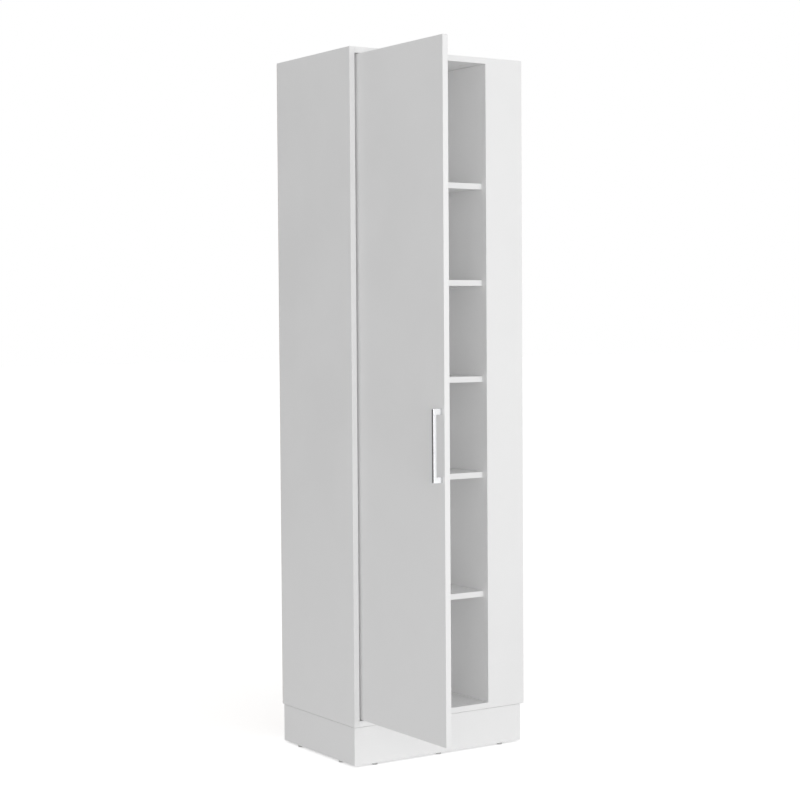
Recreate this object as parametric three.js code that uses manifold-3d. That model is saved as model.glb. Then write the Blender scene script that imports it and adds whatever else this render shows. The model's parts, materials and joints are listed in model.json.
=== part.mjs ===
// A tall white broom cupboard that stands on a plinth. On the left, five shelves lie behind an inset
// door on concealed hinges, shown open at a right angle. On the right, a blank front hides a narrow bay
// for brooms, which is open at the cupboard's right side.
// Lengths are in millimetres: X runs to the right, Y to the back and Z up.

import * as THREE from "three";
import { mergeVertices } from "three/addons/utils/BufferGeometryUtils.js";
import Module from "manifold-3d";

const wasm = await Module();
wasm.setup();

// Carcass
const OVERALL_WIDTH = 530;
const OVERALL_DEPTH = 366;
const OVERALL_HEIGHT = 1800;
const BOARD_THICKNESS = 15;
const BACK_THICKNESS = 3;
const BACK_EDGE_INSET = 1;
const BLANK_FRONT_WIDTH = 116;

// How the six shelf spaces share their clear height, from the top, then which of the five shelves lie
// loose on pins, and which have a hinge halfway up the space above them
const spaceShares = [0.1933, 0.1482, 0.1482, 0.1482, 0.1877, 0.1744];
const shelfIsLoose = [false, true, false, true, false];
const shelfHasHingeAbove = [false, false, true, false, true];

// Door
const DOOR_THICKNESS = 15;
const DOOR_GAP = 3;
const DOOR_OPEN_ANGLE = 90;

// Plinth
const PLINTH_HEIGHT = 97.5;
const PLINTH_BOARD_THICKNESS = 15;
const PLINTH_LEFT_INSET = 1;
const PLINTH_FRONT_INSET = 2;
const PLINTH_RIGHT_INSET = 10.5;
const PLINTH_BACK_INSET = 8;
const CORNER_BLOCK_LEG = 40;
const CORNER_BLOCK_TOE = 6;
const CORNER_BLOCK_HEIGHT = 70;

// Glides under the plinth
const GLIDE_DIAMETER = 16;
const GLIDE_HEIGHT = 4.5;
const GLIDE_EDGE_ROUND = 1;
const GLIDE_NAIL_DIAMETER = 2.4;
const GLIDE_NAIL_LENGTH = 12;
const GLIDE_END_DISTANCE = 64;
const GLIDE_SIDE_SPACING = 205;

// Handle, a bar of square section on two posts
const HANDLE_LENGTH = 174;
const HANDLE_BAR_WIDTH = 8;
const HANDLE_BAR_THICKNESS = 8;
const HANDLE_POST_LENGTH = 14;
const HANDLE_PROJECTION = 25;
const HANDLE_CORNER_ROUND = 1;
const HANDLE_EDGE_DISTANCE = 9;
const HANDLE_CENTRE_HEIGHT = 830;
const HANDLE_SCREW_DIAMETER = 4;
const HANDLE_SCREW_GRIP = 7;
const HANDLE_SCREW_HEAD_DIAMETER = 8;
const HANDLE_SCREW_HEAD_HEIGHT = 2.4;

// Concealed hinges
const HINGE_END_DISTANCE = 85;
const HINGE_SWING_CLEARANCE = 0.5;
const HINGE_PIN_DIAMETER = 2.5;
const HINGE_PIN_SEAT = 3;
const HINGE_EYE_WALL = 1.2;
const CUP_DIAMETER = 35;
const CUP_BORE_DEPTH = 12;
const CUP_LAND = 3;
const CUP_BASE_THICKNESS = 1;
const CUP_WALL = 1;
const CUP_RIM_WIDTH = 1.2;
const CUP_FLANGE_THICKNESS = 1.5;
const CUP_WING_LENGTH = 62;
const CUP_WING_WIDTH = 14;
const CUP_WING_ROUND = 5;
const CUP_SCREW_SPACING = 48;
const CUP_SCREW_HOLE_DIAMETER = 4;
const ARM_WIDTH = 10;
const ARM_SIDE_CLEARANCE = 1;
const ARM_THICKNESS = 2;
const ARM_BEND_ROUND = 1;
const ARM_BACK_CLEARANCE = 3.5;
const ARM_BODY_LENGTH = 50;
const ARM_BODY_HEIGHT = 8.5;
const PLATE_THICKNESS = 3;
const PLATE_WIDTH = 18;
const PLATE_WING_LENGTH = 48;
const PLATE_WING_WIDTH = 14;
const PLATE_ROUND = 4;
const PLATE_SCREW_SPACING = 32;
const PLATE_SCREW_HOLE_DIAMETER = 4;

// Pins that carry the loose shelves, hidden in notches at the shelves' ends
const PIN_SHANK_DIAMETER = 5;
const PIN_SHANK_LENGTH = 8;
const PIN_HEAD_DIAMETER = 7;
const PIN_HEAD_LENGTH = 8;
const PIN_HEAD_CHAMFER = 0.8;
const PIN_EDGE_DISTANCE = 45;

// Rail of broom hooks in the bay
const HOOK_COUNT = 3;
const HOOK_SPACING = 88;
const HOOK_WIDTH = 12;
const HOOK_REACH = 38;
const HOOK_RISE = 22;
const HOOK_THICKNESS = 3;
const HOOK_ROUND = 3;
const HOOK_RAIL_HEIGHT = 30;
const HOOK_RAIL_THICKNESS = 2.5;
const HOOK_RAIL_OVERHANG = 30;
const HOOK_RAIL_DROP = 95;
const RAIL_SCREW_DIAMETER = 4;
const RAIL_SCREW_GRIP = 11;
const RAIL_SCREW_HEAD_DIAMETER = 8;
const RAIL_SCREW_HEAD_HEIGHT = 2.4;
const RAIL_SCREW_EDGE_DISTANCE = 10;

// Clearances: between boards that butt, around fitted pieces, and around loose shelves
const SEAM = 0.2;
const SLACK = 0.3;
const LOOSE_SHELF_CLEARANCE = 0.5;
const CUT_OVERRUN = 1;

// Facets of round pieces, and of the arcs in an outline
const LARGE_ROUND_SEGMENTS = 28;
const SMALL_ROUND_SEGMENTS = 14;
const CORNER_SEGMENTS = 3;

const finishes = {
  melamine: { color: 0xf3f3f2, roughness: 0.5, metalness: 0 },
  hardboard: { color: 0xeeeeec, roughness: 0.7, metalness: 0 },
  rawWood: { color: 0xd8c19a, roughness: 0.8, metalness: 0 },
  satinChrome: { color: 0xc9cbcd, roughness: 0.25, metalness: 1 },
  nickelSteel: { color: 0xb9bab8, roughness: 0.35, metalness: 1 },
  zincSteel: { color: 0xa9adb0, roughness: 0.45, metalness: 1 },
  glidePlastic: { color: 0x8f9092, roughness: 0.6, metalness: 0 },
};

// Places that several pieces share
const plinthTop = GLIDE_HEIGHT + PLINTH_HEIGHT;
const boardBack = OVERALL_DEPTH - BACK_THICKNESS - SEAM;
const floorTop = plinthTop + BOARD_THICKNESS;
const ceiling = OVERALL_HEIGHT - BOARD_THICKNESS;
const openingLeft = BOARD_THICKNESS;
const openingRight = OVERALL_WIDTH - BLANK_FRONT_WIDTH;
const bayLeft = openingRight + BOARD_THICKNESS;
const plinthRight = OVERALL_WIDTH - PLINTH_RIGHT_INSET;
const plinthBack = OVERALL_DEPTH - PLINTH_BACK_INSET;

// The pivot lies at mid thickness of the door, and so far in from the door's end that the end's corner
// passes the side panel with the swing clearance.
const doorHalf = DOOR_THICKNESS / 2;
const cornerRoom = DOOR_GAP - HINGE_SWING_CLEARANCE;
const pivotInset = (doorHalf ** 2 - cornerRoom ** 2) / (2 * cornerRoom);
const swingRadius = Math.hypot(pivotInset, doorHalf);
const pivotX = openingLeft + DOOR_GAP + pivotInset;
const pivotY = doorHalf;
const doorWidth = openingRight - openingLeft - 2 * DOOR_GAP;
const doorReach = doorWidth - pivotInset;
const doorBottom = floorTop + DOOR_GAP;
const doorTop = ceiling - DOOR_GAP;

// The shelves stand back behind the circle that the door's end swings through.
const shelfFront = pivotY + swingRadius + HINGE_SWING_CLEARANCE;

// Heights of the shelf spaces, and of the upper faces of the five shelves, from the top
const spacesHeight = ceiling - floorTop - shelfIsLoose.length * BOARD_THICKNESS;
const spaceHeights = spaceShares.map((share) => share * spacesHeight);
const shelfTops = [];
let spaceCeiling = ceiling;
shelfIsLoose.forEach((loose, index) => {
  shelfTops.push(spaceCeiling - spaceHeights[index]);
  spaceCeiling = shelfTops[index] - BOARD_THICKNESS;
});

// One hinge near each end of the door, and the others halfway up their shelf spaces
const middleHinges = shelfTops
  .map((top, index) => top + spaceHeights[index] / 2)
  .filter((height, index) => shelfHasHingeAbove[index]);
const hingeHeights = [doorTop - HINGE_END_DISTANCE, ...middleHinges, doorBottom + HINGE_END_DISTANCE];

// Solids and meshes

function solidOf(geometry) {
  const bare = geometry.clone();
  bare.deleteAttribute("normal");
  bare.deleteAttribute("uv");
  const merged = mergeVertices(bare);
  return new wasm.Manifold(
    new wasm.Mesh({
      numProp: 3,
      vertProperties: merged.attributes.position.array,
      triVerts: new Uint32Array(merged.index.array),
    }),
  );
}

function geometryOf(solid) {
  const mesh = solid.getMesh();
  const geometry = new THREE.BufferGeometry();
  geometry.setAttribute("position", new THREE.BufferAttribute(mesh.vertProperties, 3));
  geometry.setIndex(new THREE.BufferAttribute(mesh.triVerts, 1));
  const faceted = geometry.toNonIndexed();
  faceted.computeVertexNormals();
  return faceted;
}

function join(first, ...others) {
  return geometryOf(others.reduce((solid, other) => solid.add(solidOf(other)), solidOf(first)));
}

function cut(body, ...tools) {
  return geometryOf(tools.reduce((solid, tool) => solid.subtract(solidOf(tool)), solidOf(body)));
}

function piece(name, geometry, finish) {
  const mesh = new THREE.Mesh(geometry, new THREE.MeshStandardMaterial(finish));
  mesh.name = name;
  return mesh;
}

// A block between two opposite corners
function block(low, high) {
  const size = high.clone().sub(low);
  const middle = low.clone().add(high).divideScalar(2);
  return new THREE.BoxGeometry(size.x, size.y, size.z).translate(middle.x, middle.y, middle.z);
}

function board(name, low, high, holes = []) {
  const blank = block(new THREE.Vector3(...low), new THREE.Vector3(...high));
  return piece(name, holes.length ? cut(blank, ...holes) : blank, finishes.melamine);
}

// A turned solid on the Z axis, from [radius, height] pairs that start and end on the axis
function turned(profile, segments) {
  const points = profile.map(([radius, height]) => new THREE.Vector2(radius, height));
  return new THREE.LatheGeometry(points, segments).rotateX(Math.PI / 2);
}

// A round bar on the Z axis, from one height to another
function rod(diameter, bottom, top, segments) {
  const radius = diameter / 2;
  return turned([[0, bottom], [radius, bottom], [radius, top], [0, top]], segments);
}

function alongX(geometry) {
  return geometry.rotateY(Math.PI / 2);
}

function alongY(geometry) {
  return geometry.rotateX(-Math.PI / 2);
}

// An outline through corners of [x, y, radius], each corner rounded by its radius
function outline(corners) {
  const shape = new THREE.Shape();
  const count = corners.length;
  corners.forEach(([x, y, radius = 0], index) => {
    const here = new THREE.Vector2(x, y);
    const before = new THREE.Vector2(...corners[(index + count - 1) % count]);
    const after = new THREE.Vector2(...corners[(index + 1) % count]);
    const entry = before.sub(here).setLength(radius).add(here);
    const exit = after.sub(here).setLength(radius).add(here);
    if (index === 0) shape.moveTo(entry.x, entry.y);
    else shape.lineTo(entry.x, entry.y);
    if (radius > 0) shape.quadraticCurveTo(x, y, exit.x, exit.y);
  });
  shape.closePath();
  return shape;
}

function rectangle(width, height, radius) {
  const x = width / 2;
  const y = height / 2;
  return outline([
    [-x, -y, radius],
    [x, -y, radius],
    [x, y, radius],
    [-x, y, radius],
  ]);
}

// An outline in X and Y, thickened upwards along Z
function thicken(shape, depth) {
  return new THREE.ExtrudeGeometry(shape, {
    depth,
    bevelEnabled: false,
    curveSegments: CORNER_SEGMENTS,
  });
}

// The same, turned so that the outline lies in Y and Z and is thickened along X
function thickenAlongX(shape, depth) {
  return thicken(shape, depth).rotateX(Math.PI / 2).rotateZ(Math.PI / 2);
}

// A pan-head screw on the Z axis, pointing down, its head's seat at height zero
function panScrew(shankDiameter, shankLength, headDiameter, headHeight) {
  const shank = shankDiameter / 2;
  const head = headDiameter / 2;
  return turned(
    [
      [0, -shankLength],
      [shank, -shankLength],
      [shank, 0],
      [head, 0],
      [head, headHeight / 2],
      [shank, headHeight],
      [0, headHeight],
    ],
    SMALL_ROUND_SEGMENTS,
  );
}

// Plinth

function glidePlaces() {
  const left = PLINTH_LEFT_INSET + PLINTH_BOARD_THICKNESS / 2;
  const right = plinthRight - PLINTH_BOARD_THICKNESS / 2;
  const front = PLINTH_FRONT_INSET + PLINTH_BOARD_THICKNESS / 2;
  const back = plinthBack - PLINTH_BOARD_THICKNESS / 2;
  const along = [
    PLINTH_LEFT_INSET + GLIDE_END_DISTANCE,
    (PLINTH_LEFT_INSET + plinthRight) / 2,
    plinthRight - GLIDE_END_DISTANCE,
  ];
  const middle = (PLINTH_FRONT_INSET + plinthBack) / 2;
  const deep = [middle - GLIDE_SIDE_SPACING / 2, middle + GLIDE_SIDE_SPACING / 2];
  return {
    front: along.map((x) => [x, front]),
    back: along.map((x) => [x, back]),
    left: deep.map((y) => [left, y]),
    right: deep.map((y) => [right, y]),
  };
}

function glide(name, [x, y]) {
  const radius = GLIDE_DIAMETER / 2;
  const nail = GLIDE_NAIL_DIAMETER / 2;
  const top = GLIDE_HEIGHT - SEAM;
  const profile = [
    [0, 0],
    [radius - GLIDE_EDGE_ROUND, 0],
    [radius, GLIDE_EDGE_ROUND],
    [radius, top],
    [nail, top],
    [nail, GLIDE_HEIGHT + GLIDE_NAIL_LENGTH],
    [0, GLIDE_HEIGHT + GLIDE_NAIL_LENGTH],
  ];
  const mesh = piece(name, turned(profile, SMALL_ROUND_SEGMENTS), finishes.glidePlastic);
  mesh.position.set(x, y, 0);
  return mesh;
}

function nailHoles(places) {
  const diameter = GLIDE_NAIL_DIAMETER + 2 * SLACK;
  const top = GLIDE_HEIGHT + GLIDE_NAIL_LENGTH + SLACK;
  const bottom = GLIDE_HEIGHT - CUT_OVERRUN;
  return places.map(([x, y]) =>
    rod(diameter, bottom, top, SMALL_ROUND_SEGMENTS).translate(x, y, 0),
  );
}

// A three-cornered block that ties two plinth boards to the bottom panel
function cornerBlock(name, x, y, quarterTurns) {
  const leg = CORNER_BLOCK_LEG;
  const toe = CORNER_BLOCK_TOE;
  const shape = outline([[0, 0], [leg, 0], [leg, toe], [toe, leg], [0, leg]]);
  const mesh = piece(name, thicken(shape, CORNER_BLOCK_HEIGHT), finishes.rawWood);
  mesh.position.set(x, y, plinthTop - SEAM - CORNER_BLOCK_HEIGHT);
  mesh.rotation.z = (quarterTurns * Math.PI) / 2;
  return mesh;
}

function plinth() {
  const group = new THREE.Group();
  const left = PLINTH_LEFT_INSET;
  const front = PLINTH_FRONT_INSET;
  const thickness = PLINTH_BOARD_THICKNESS;
  const bottom = GLIDE_HEIGHT;
  const top = plinthTop - SEAM;
  const sideFront = front + thickness + SEAM;
  const sideBack = plinthBack - thickness - SEAM;
  const places = glidePlaces();
  group.add(
    board("plinth_front_board", [left, front, bottom], [plinthRight, front + thickness, top],
      nailHoles(places.front)),
    board("plinth_back_board", [left, plinthBack - thickness, bottom], [plinthRight, plinthBack, top],
      nailHoles(places.back)),
    board("plinth_left_board", [left, sideFront, bottom], [left + thickness, sideBack, top],
      nailHoles(places.left)),
    board("plinth_right_board", [plinthRight - thickness, sideFront, bottom], [plinthRight, sideBack, top],
      nailHoles(places.right)),
  );
  const inside = thickness + SLACK;
  group.add(
    cornerBlock("corner_block_front_left", left + inside, front + inside, 0),
    cornerBlock("corner_block_front_right", plinthRight - inside, front + inside, 1),
    cornerBlock("corner_block_back_right", plinthRight - inside, plinthBack - inside, 2),
    cornerBlock("corner_block_back_left", left + inside, plinthBack - inside, 3),
  );
  for (const [side, spots] of Object.entries(places)) {
    spots.forEach((spot, index) => group.add(glide(`glide_${side}_${index + 1}`, spot)));
  }
  return group;
}

// Shelves and their pins

function shelfName(index) {
  return `shelf_${index + 1}`;
}

function pinPlaces() {
  const ends = { front: shelfFront + PIN_EDGE_DISTANCE, back: boardBack - PIN_EDGE_DISTANCE };
  const places = [];
  shelfTops.forEach((top, index) => {
    if (!shelfIsLoose[index]) return;
    const z = top - BOARD_THICKNESS + PIN_HEAD_DIAMETER / 2;
    Object.entries(ends).forEach(([end, y]) => places.push({ shelf: shelfName(index), end, y, z }));
  });
  return places;
}

// Holes for the pins in the face of a board at x, running in the given direction
function pinHoles(x, direction) {
  const depth = direction * (PIN_SHANK_LENGTH + SLACK);
  const mouth = -direction * CUT_OVERRUN;
  const low = Math.min(depth, mouth);
  const high = Math.max(depth, mouth);
  const diameter = PIN_SHANK_DIAMETER + 2 * SLACK;
  return pinPlaces().map(({ y, z }) =>
    alongX(rod(diameter, low, high, SMALL_ROUND_SEGMENTS)).translate(x, y, z),
  );
}

// A pin on the Z axis: its shank below height zero, and the head that carries the shelf above
function shelfPin(name) {
  const shank = PIN_SHANK_DIAMETER / 2;
  const head = PIN_HEAD_DIAMETER / 2;
  const profile = [
    [0, -PIN_SHANK_LENGTH],
    [shank, -PIN_SHANK_LENGTH],
    [shank, SEAM],
    [head, SEAM],
    [head, PIN_HEAD_LENGTH - PIN_HEAD_CHAMFER],
    [head - PIN_HEAD_CHAMFER, PIN_HEAD_LENGTH],
    [0, PIN_HEAD_LENGTH],
  ];
  return piece(name, turned(profile, SMALL_ROUND_SEGMENTS), finishes.zincSteel);
}

function shelfPins() {
  const group = new THREE.Group();
  pinPlaces().forEach(({ shelf, end, y, z }) => {
    const left = shelfPin(`${shelf}_pin_left_${end}`);
    left.position.set(openingLeft, y, z);
    left.rotation.y = Math.PI / 2;
    const right = shelfPin(`${shelf}_pin_right_${end}`);
    right.position.set(openingRight, y, z);
    right.rotation.y = -Math.PI / 2;
    group.add(left, right);
  });
  return group;
}

// A notch in a loose shelf's underside, from its end inwards, deep enough to take a pin's whole head
function pinNotch(x, inwards, y, z) {
  const outer = x - inwards * CUT_OVERRUN;
  const inner = x + inwards * (PIN_HEAD_LENGTH + SLACK);
  const half = PIN_HEAD_DIAMETER / 2 + SLACK;
  return block(
    new THREE.Vector3(Math.min(outer, inner), y - half, z - half - CUT_OVERRUN),
    new THREE.Vector3(Math.max(outer, inner), y + half, z + half),
  );
}

function shelves() {
  const group = new THREE.Group();
  shelfTops.forEach((top, index) => {
    const gap = shelfIsLoose[index] ? LOOSE_SHELF_CLEARANCE : SEAM;
    const notches = pinPlaces()
      .filter(({ shelf }) => shelf === shelfName(index))
      .flatMap(({ y, z }) => [pinNotch(openingLeft, 1, y, z), pinNotch(openingRight, -1, y, z)]);
    group.add(
      board(
        shelfName(index),
        [openingLeft + gap, shelfFront, top - BOARD_THICKNESS],
        [openingRight - gap, boardBack - gap, top],
        notches,
      ),
    );
  });
  return group;
}

// Rail of broom hooks

const railFace = bayLeft + SEAM;
const railHeight = ceiling - HOOK_RAIL_DROP;
const railLength = (HOOK_COUNT - 1) * HOOK_SPACING + 2 * HOOK_RAIL_OVERHANG;
const railMiddle = (BOARD_THICKNESS + boardBack) / 2;
const railScrewDepths = [-1, 1].map(
  (side) => railMiddle + side * (railLength / 2 - RAIL_SCREW_EDGE_DISTANCE),
);

// One hook in X and Z: out from the rail, then up
function hookOutline() {
  const t = HOOK_THICKNESS;
  const inner = HOOK_REACH - t;
  return outline([
    [0, 0],
    [HOOK_REACH, 0, HOOK_ROUND],
    [HOOK_REACH, HOOK_RISE, HOOK_THICKNESS / 3],
    [inner, HOOK_RISE, HOOK_THICKNESS / 3],
    [inner, t, HOOK_ROUND / 2],
    [0, t],
  ]);
}

function hookRail() {
  const strip = block(
    new THREE.Vector3(0, -railLength / 2, -HOOK_RAIL_HEIGHT / 2),
    new THREE.Vector3(HOOK_RAIL_THICKNESS, railLength / 2, HOOK_RAIL_HEIGHT / 2),
  );
  const hooks = [];
  for (let index = 0; index < HOOK_COUNT; index += 1) {
    const y = (index - (HOOK_COUNT - 1) / 2) * HOOK_SPACING;
    const hook = thicken(hookOutline(), HOOK_WIDTH).rotateX(Math.PI / 2);
    hooks.push(hook.translate(0, y + HOOK_WIDTH / 2, -HOOK_RAIL_HEIGHT / 2));
  }
  const screwHoles = railScrewDepths.map((y) => {
    const hole = rod(
      RAIL_SCREW_DIAMETER + 2 * SLACK,
      -CUT_OVERRUN,
      HOOK_RAIL_THICKNESS + CUT_OVERRUN,
      SMALL_ROUND_SEGMENTS,
    );
    return alongX(hole).translate(0, y - railMiddle, 0);
  });
  const rail = piece("broom_hook_rail", cut(join(strip, ...hooks), ...screwHoles), finishes.nickelSteel);
  rail.position.set(railFace, railMiddle, railHeight);
  return rail;
}

function railScrews() {
  const group = new THREE.Group();
  railScrewDepths.forEach((y, index) => {
    const geometry = panScrew(
      RAIL_SCREW_DIAMETER,
      RAIL_SCREW_GRIP + HOOK_RAIL_THICKNESS,
      RAIL_SCREW_HEAD_DIAMETER,
      RAIL_SCREW_HEAD_HEIGHT,
    );
    const screw = piece(`hook_rail_screw_${index + 1}`, geometry, finishes.zincSteel);
    screw.position.set(railFace + HOOK_RAIL_THICKNESS + SLACK, y, railHeight);
    screw.rotation.y = Math.PI / 2;
    group.add(screw);
  });
  return group;
}

// Carcass

function carcass() {
  const group = new THREE.Group();
  const upright = [floorTop + SEAM, ceiling - SEAM];
  const inside = openingLeft + SEAM;
  const railHoles = railScrewDepths.map((y) => {
    const diameter = RAIL_SCREW_DIAMETER + 2 * SLACK;
    const hole = rod(diameter, -RAIL_SCREW_GRIP - SLACK, CUT_OVERRUN, SMALL_ROUND_SEGMENTS);
    return alongX(hole).translate(bayLeft, y, railHeight);
  });
  group.add(
    board("left_side_panel", [0, 0, plinthTop], [BOARD_THICKNESS, boardBack, OVERALL_HEIGHT],
      pinHoles(openingLeft, -1)),
    board("top_panel", [inside, 0, ceiling], [OVERALL_WIDTH, boardBack, OVERALL_HEIGHT]),
    board("bottom_panel", [inside, 0, plinthTop], [OVERALL_WIDTH, boardBack, floorTop]),
    board("partition_panel", [openingRight, BOARD_THICKNESS + SEAM, upright[0]],
      [bayLeft, boardBack, upright[1]], [...pinHoles(openingRight, 1), ...railHoles]),
    board("blank_front_panel", [openingRight, 0, upright[0]],
      [OVERALL_WIDTH, BOARD_THICKNESS, upright[1]]),
  );
  const inset = BACK_EDGE_INSET;
  const back = block(
    new THREE.Vector3(inset, OVERALL_DEPTH - BACK_THICKNESS, plinthTop + inset),
    new THREE.Vector3(OVERALL_WIDTH - inset, OVERALL_DEPTH, OVERALL_HEIGHT - inset),
  );
  group.add(piece("back_panel", back, finishes.hardboard));
  return group;
}

// Hinges. Outlines are drawn from the pivot, with the door closed.

const eyeRadius = HINGE_PIN_DIAMETER / 2 + SLACK + HINGE_EYE_WALL;
const cupRadius = CUP_DIAMETER / 2 - SLACK;
const cupMiddle = CUP_LAND + CUP_DIAMETER / 2 - pivotInset;
const cupBottom = doorHalf - CUP_BORE_DEPTH + SLACK;
const flangeBack = doorHalf + SLACK + CUP_FLANGE_THICKNESS;
const pocketHalfWidth = ARM_WIDTH / 2 + ARM_SIDE_CLEARANCE;
const plateFace = PLATE_THICKNESS + SEAM;

// The cup's body and winged flange, with the pocket that the arm enters and the pin's seats
function hingeCup(name, height) {
  const body = rod(2 * cupRadius, -flangeBack, -cupBottom, LARGE_ROUND_SEGMENTS);
  const rim = rod(
    2 * (cupRadius + CUP_RIM_WIDTH),
    -flangeBack,
    CUP_FLANGE_THICKNESS - flangeBack,
    LARGE_ROUND_SEGMENTS,
  );
  const wings = thicken(rectangle(CUP_WING_WIDTH, CUP_WING_LENGTH, CUP_WING_ROUND), CUP_FLANGE_THICKNESS);
  const screwHoles = [-1, 1].map((side) =>
    rod(
      CUP_SCREW_HOLE_DIAMETER,
      -flangeBack - CUT_OVERRUN,
      CUP_FLANGE_THICKNESS - flangeBack + CUT_OVERRUN,
      SMALL_ROUND_SEGMENTS,
    ).translate(0, (side * CUP_SCREW_SPACING) / 2, 0),
  );
  const winged = cut(join(body, rim, wings.translate(0, 0, -flangeBack)), ...screwHoles);
  const turnedCup = winged.rotateX(Math.PI / 2).translate(cupMiddle, 0, 0);
  const pocketChord = Math.sqrt(cupRadius ** 2 - pocketHalfWidth ** 2) - CUP_WALL;
  const pocket = block(
    new THREE.Vector3(cupMiddle - pocketChord, cupBottom + CUP_BASE_THICKNESS, -pocketHalfWidth),
    new THREE.Vector3(cupMiddle + pocketChord, flangeBack + CUT_OVERRUN, pocketHalfWidth),
  );
  const seatEnd = pocketHalfWidth + HINGE_PIN_SEAT + SLACK;
  const seats = rod(HINGE_PIN_DIAMETER + 2 * SLACK, -seatEnd, seatEnd, SMALL_ROUND_SEGMENTS);
  const cup = piece(name, cut(turnedCup, pocket, seats), finishes.nickelSteel);
  cup.position.z = height;
  return cup;
}

function hingePin(name, height) {
  const half = pocketHalfWidth + HINGE_PIN_SEAT;
  const pin = piece(name, rod(HINGE_PIN_DIAMETER, -half, half, SMALL_ROUND_SEGMENTS), finishes.zincSteel);
  pin.position.z = height;
  return pin;
}

// The arm's eye turns on the pin. Its neck leads out of the cup and round the door's end to the body,
// which lies along the side panel.
function hingeArm(name, height) {
  const half = ARM_THICKNESS / 2;
  const neckInside = swingRadius + SLACK;
  const neckOutside = neckInside + ARM_THICKNESS;
  const crossFront = swingRadius + ARM_BACK_CLEARANCE;
  const crossBack = crossFront + ARM_THICKNESS;
  const bodyLeft = openingLeft + plateFace + SLACK - pivotX;
  const bodyRight = bodyLeft + ARM_BODY_HEIGHT;
  const bodyBack = crossFront + ARM_BODY_LENGTH;
  const bend = ARM_BEND_ROUND;
  const outer = ARM_BEND_ROUND + ARM_THICKNESS;
  const profile = outline([
    [0, -half],
    [neckOutside, -half, outer],
    [neckOutside, crossBack, outer],
    [bodyRight, crossBack, bend],
    [bodyRight, bodyBack, bend],
    [bodyLeft, bodyBack, bend],
    [bodyLeft, crossFront, bend],
    [neckInside, crossFront, bend],
    [neckInside, half, bend],
    [0, half],
  ]);
  const bar = thicken(profile, ARM_WIDTH).translate(0, 0, -ARM_WIDTH / 2);
  const eye = rod(2 * eyeRadius, -ARM_WIDTH / 2, ARM_WIDTH / 2, SMALL_ROUND_SEGMENTS);
  const pinBore = rod(
    HINGE_PIN_DIAMETER + 2 * SLACK,
    -ARM_WIDTH / 2 - CUT_OVERRUN,
    ARM_WIDTH / 2 + CUT_OVERRUN,
    SMALL_ROUND_SEGMENTS,
  );
  const arm = piece(name, cut(join(bar, eye), pinBore), finishes.nickelSteel);
  arm.position.set(pivotX, pivotY, height);
  return arm;
}

// The cross-shaped plate that carries the arm on the side panel
function hingePlate(name, height) {
  const spine = rectangle(ARM_BODY_LENGTH, PLATE_WIDTH, PLATE_ROUND);
  const wings = rectangle(PLATE_WING_WIDTH, PLATE_WING_LENGTH, PLATE_ROUND);
  const cross = join(thickenAlongX(spine, PLATE_THICKNESS), thickenAlongX(wings, PLATE_THICKNESS));
  const screwHoles = [-1, 1].map((side) => {
    const hole = rod(
      PLATE_SCREW_HOLE_DIAMETER,
      -CUT_OVERRUN,
      PLATE_THICKNESS + CUT_OVERRUN,
      SMALL_ROUND_SEGMENTS,
    );
    return alongX(hole).translate(0, 0, (side * PLATE_SCREW_SPACING) / 2);
  });
  const plate = piece(name, cut(cross, ...screwHoles), finishes.nickelSteel);
  const middle = pivotY + swingRadius + ARM_BACK_CLEARANCE + ARM_BODY_LENGTH / 2;
  plate.position.set(openingLeft + SEAM, middle, height);
  return plate;
}

// Door. Its pieces are placed from the pivot, with the door closed.

const handleOutside = -doorHalf - HANDLE_PROJECTION;
const handleFoot = -doorHalf - SLACK;
const handleFar = doorReach - HANDLE_EDGE_DISTANCE;
const handleMiddle = handleFar - HANDLE_BAR_WIDTH / 2;
const handleScrewHeights = [-1, 1].map(
  (side) => HANDLE_CENTRE_HEIGHT + (side * (HANDLE_LENGTH - HANDLE_POST_LENGTH)) / 2,
);

function doorPanel() {
  const cupBores = hingeHeights.map((z) => {
    const bore = rod(CUP_DIAMETER, doorHalf - CUP_BORE_DEPTH, doorHalf + CUT_OVERRUN, LARGE_ROUND_SEGMENTS);
    return alongY(bore).translate(cupMiddle, 0, z);
  });
  const handleHoles = handleScrewHeights.map((z) => {
    const reach = doorHalf + CUT_OVERRUN;
    const hole = rod(HANDLE_SCREW_DIAMETER + 2 * SLACK, -reach, reach, SMALL_ROUND_SEGMENTS);
    return alongY(hole).translate(handleMiddle, 0, z);
  });
  return board(
    "door_panel",
    [-pivotInset, -doorHalf, doorBottom],
    [doorReach, doorHalf, doorTop],
    [...cupBores, ...handleHoles],
  );
}

// The bar and its two posts in one piece, with a blind hole for a screw in each post
function handle() {
  const half = HANDLE_LENGTH / 2;
  const inner = half - HANDLE_POST_LENGTH;
  const inside = handleOutside + HANDLE_BAR_THICKNESS;
  const round = HANDLE_CORNER_ROUND;
  const profile = outline([
    [handleOutside, -half, round],
    [handleFoot, -half],
    [handleFoot, -inner],
    [inside, -inner, round],
    [inside, inner, round],
    [handleFoot, inner],
    [handleFoot, half],
    [handleOutside, half, round],
  ]);
  const bar = thickenAlongX(profile, HANDLE_BAR_WIDTH);
  const holes = handleScrewHeights.map((z) => {
    const bottom = -doorHalf - HANDLE_SCREW_GRIP - SLACK;
    const hole = rod(
      HANDLE_SCREW_DIAMETER + 2 * SLACK,
      bottom,
      handleFoot + CUT_OVERRUN,
      SMALL_ROUND_SEGMENTS,
    );
    return alongY(hole).translate(HANDLE_BAR_WIDTH / 2, 0, z - HANDLE_CENTRE_HEIGHT);
  });
  const mesh = piece("handle", cut(bar, ...holes), finishes.satinChrome);
  mesh.position.set(handleFar - HANDLE_BAR_WIDTH, 0, HANDLE_CENTRE_HEIGHT);
  return mesh;
}

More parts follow.
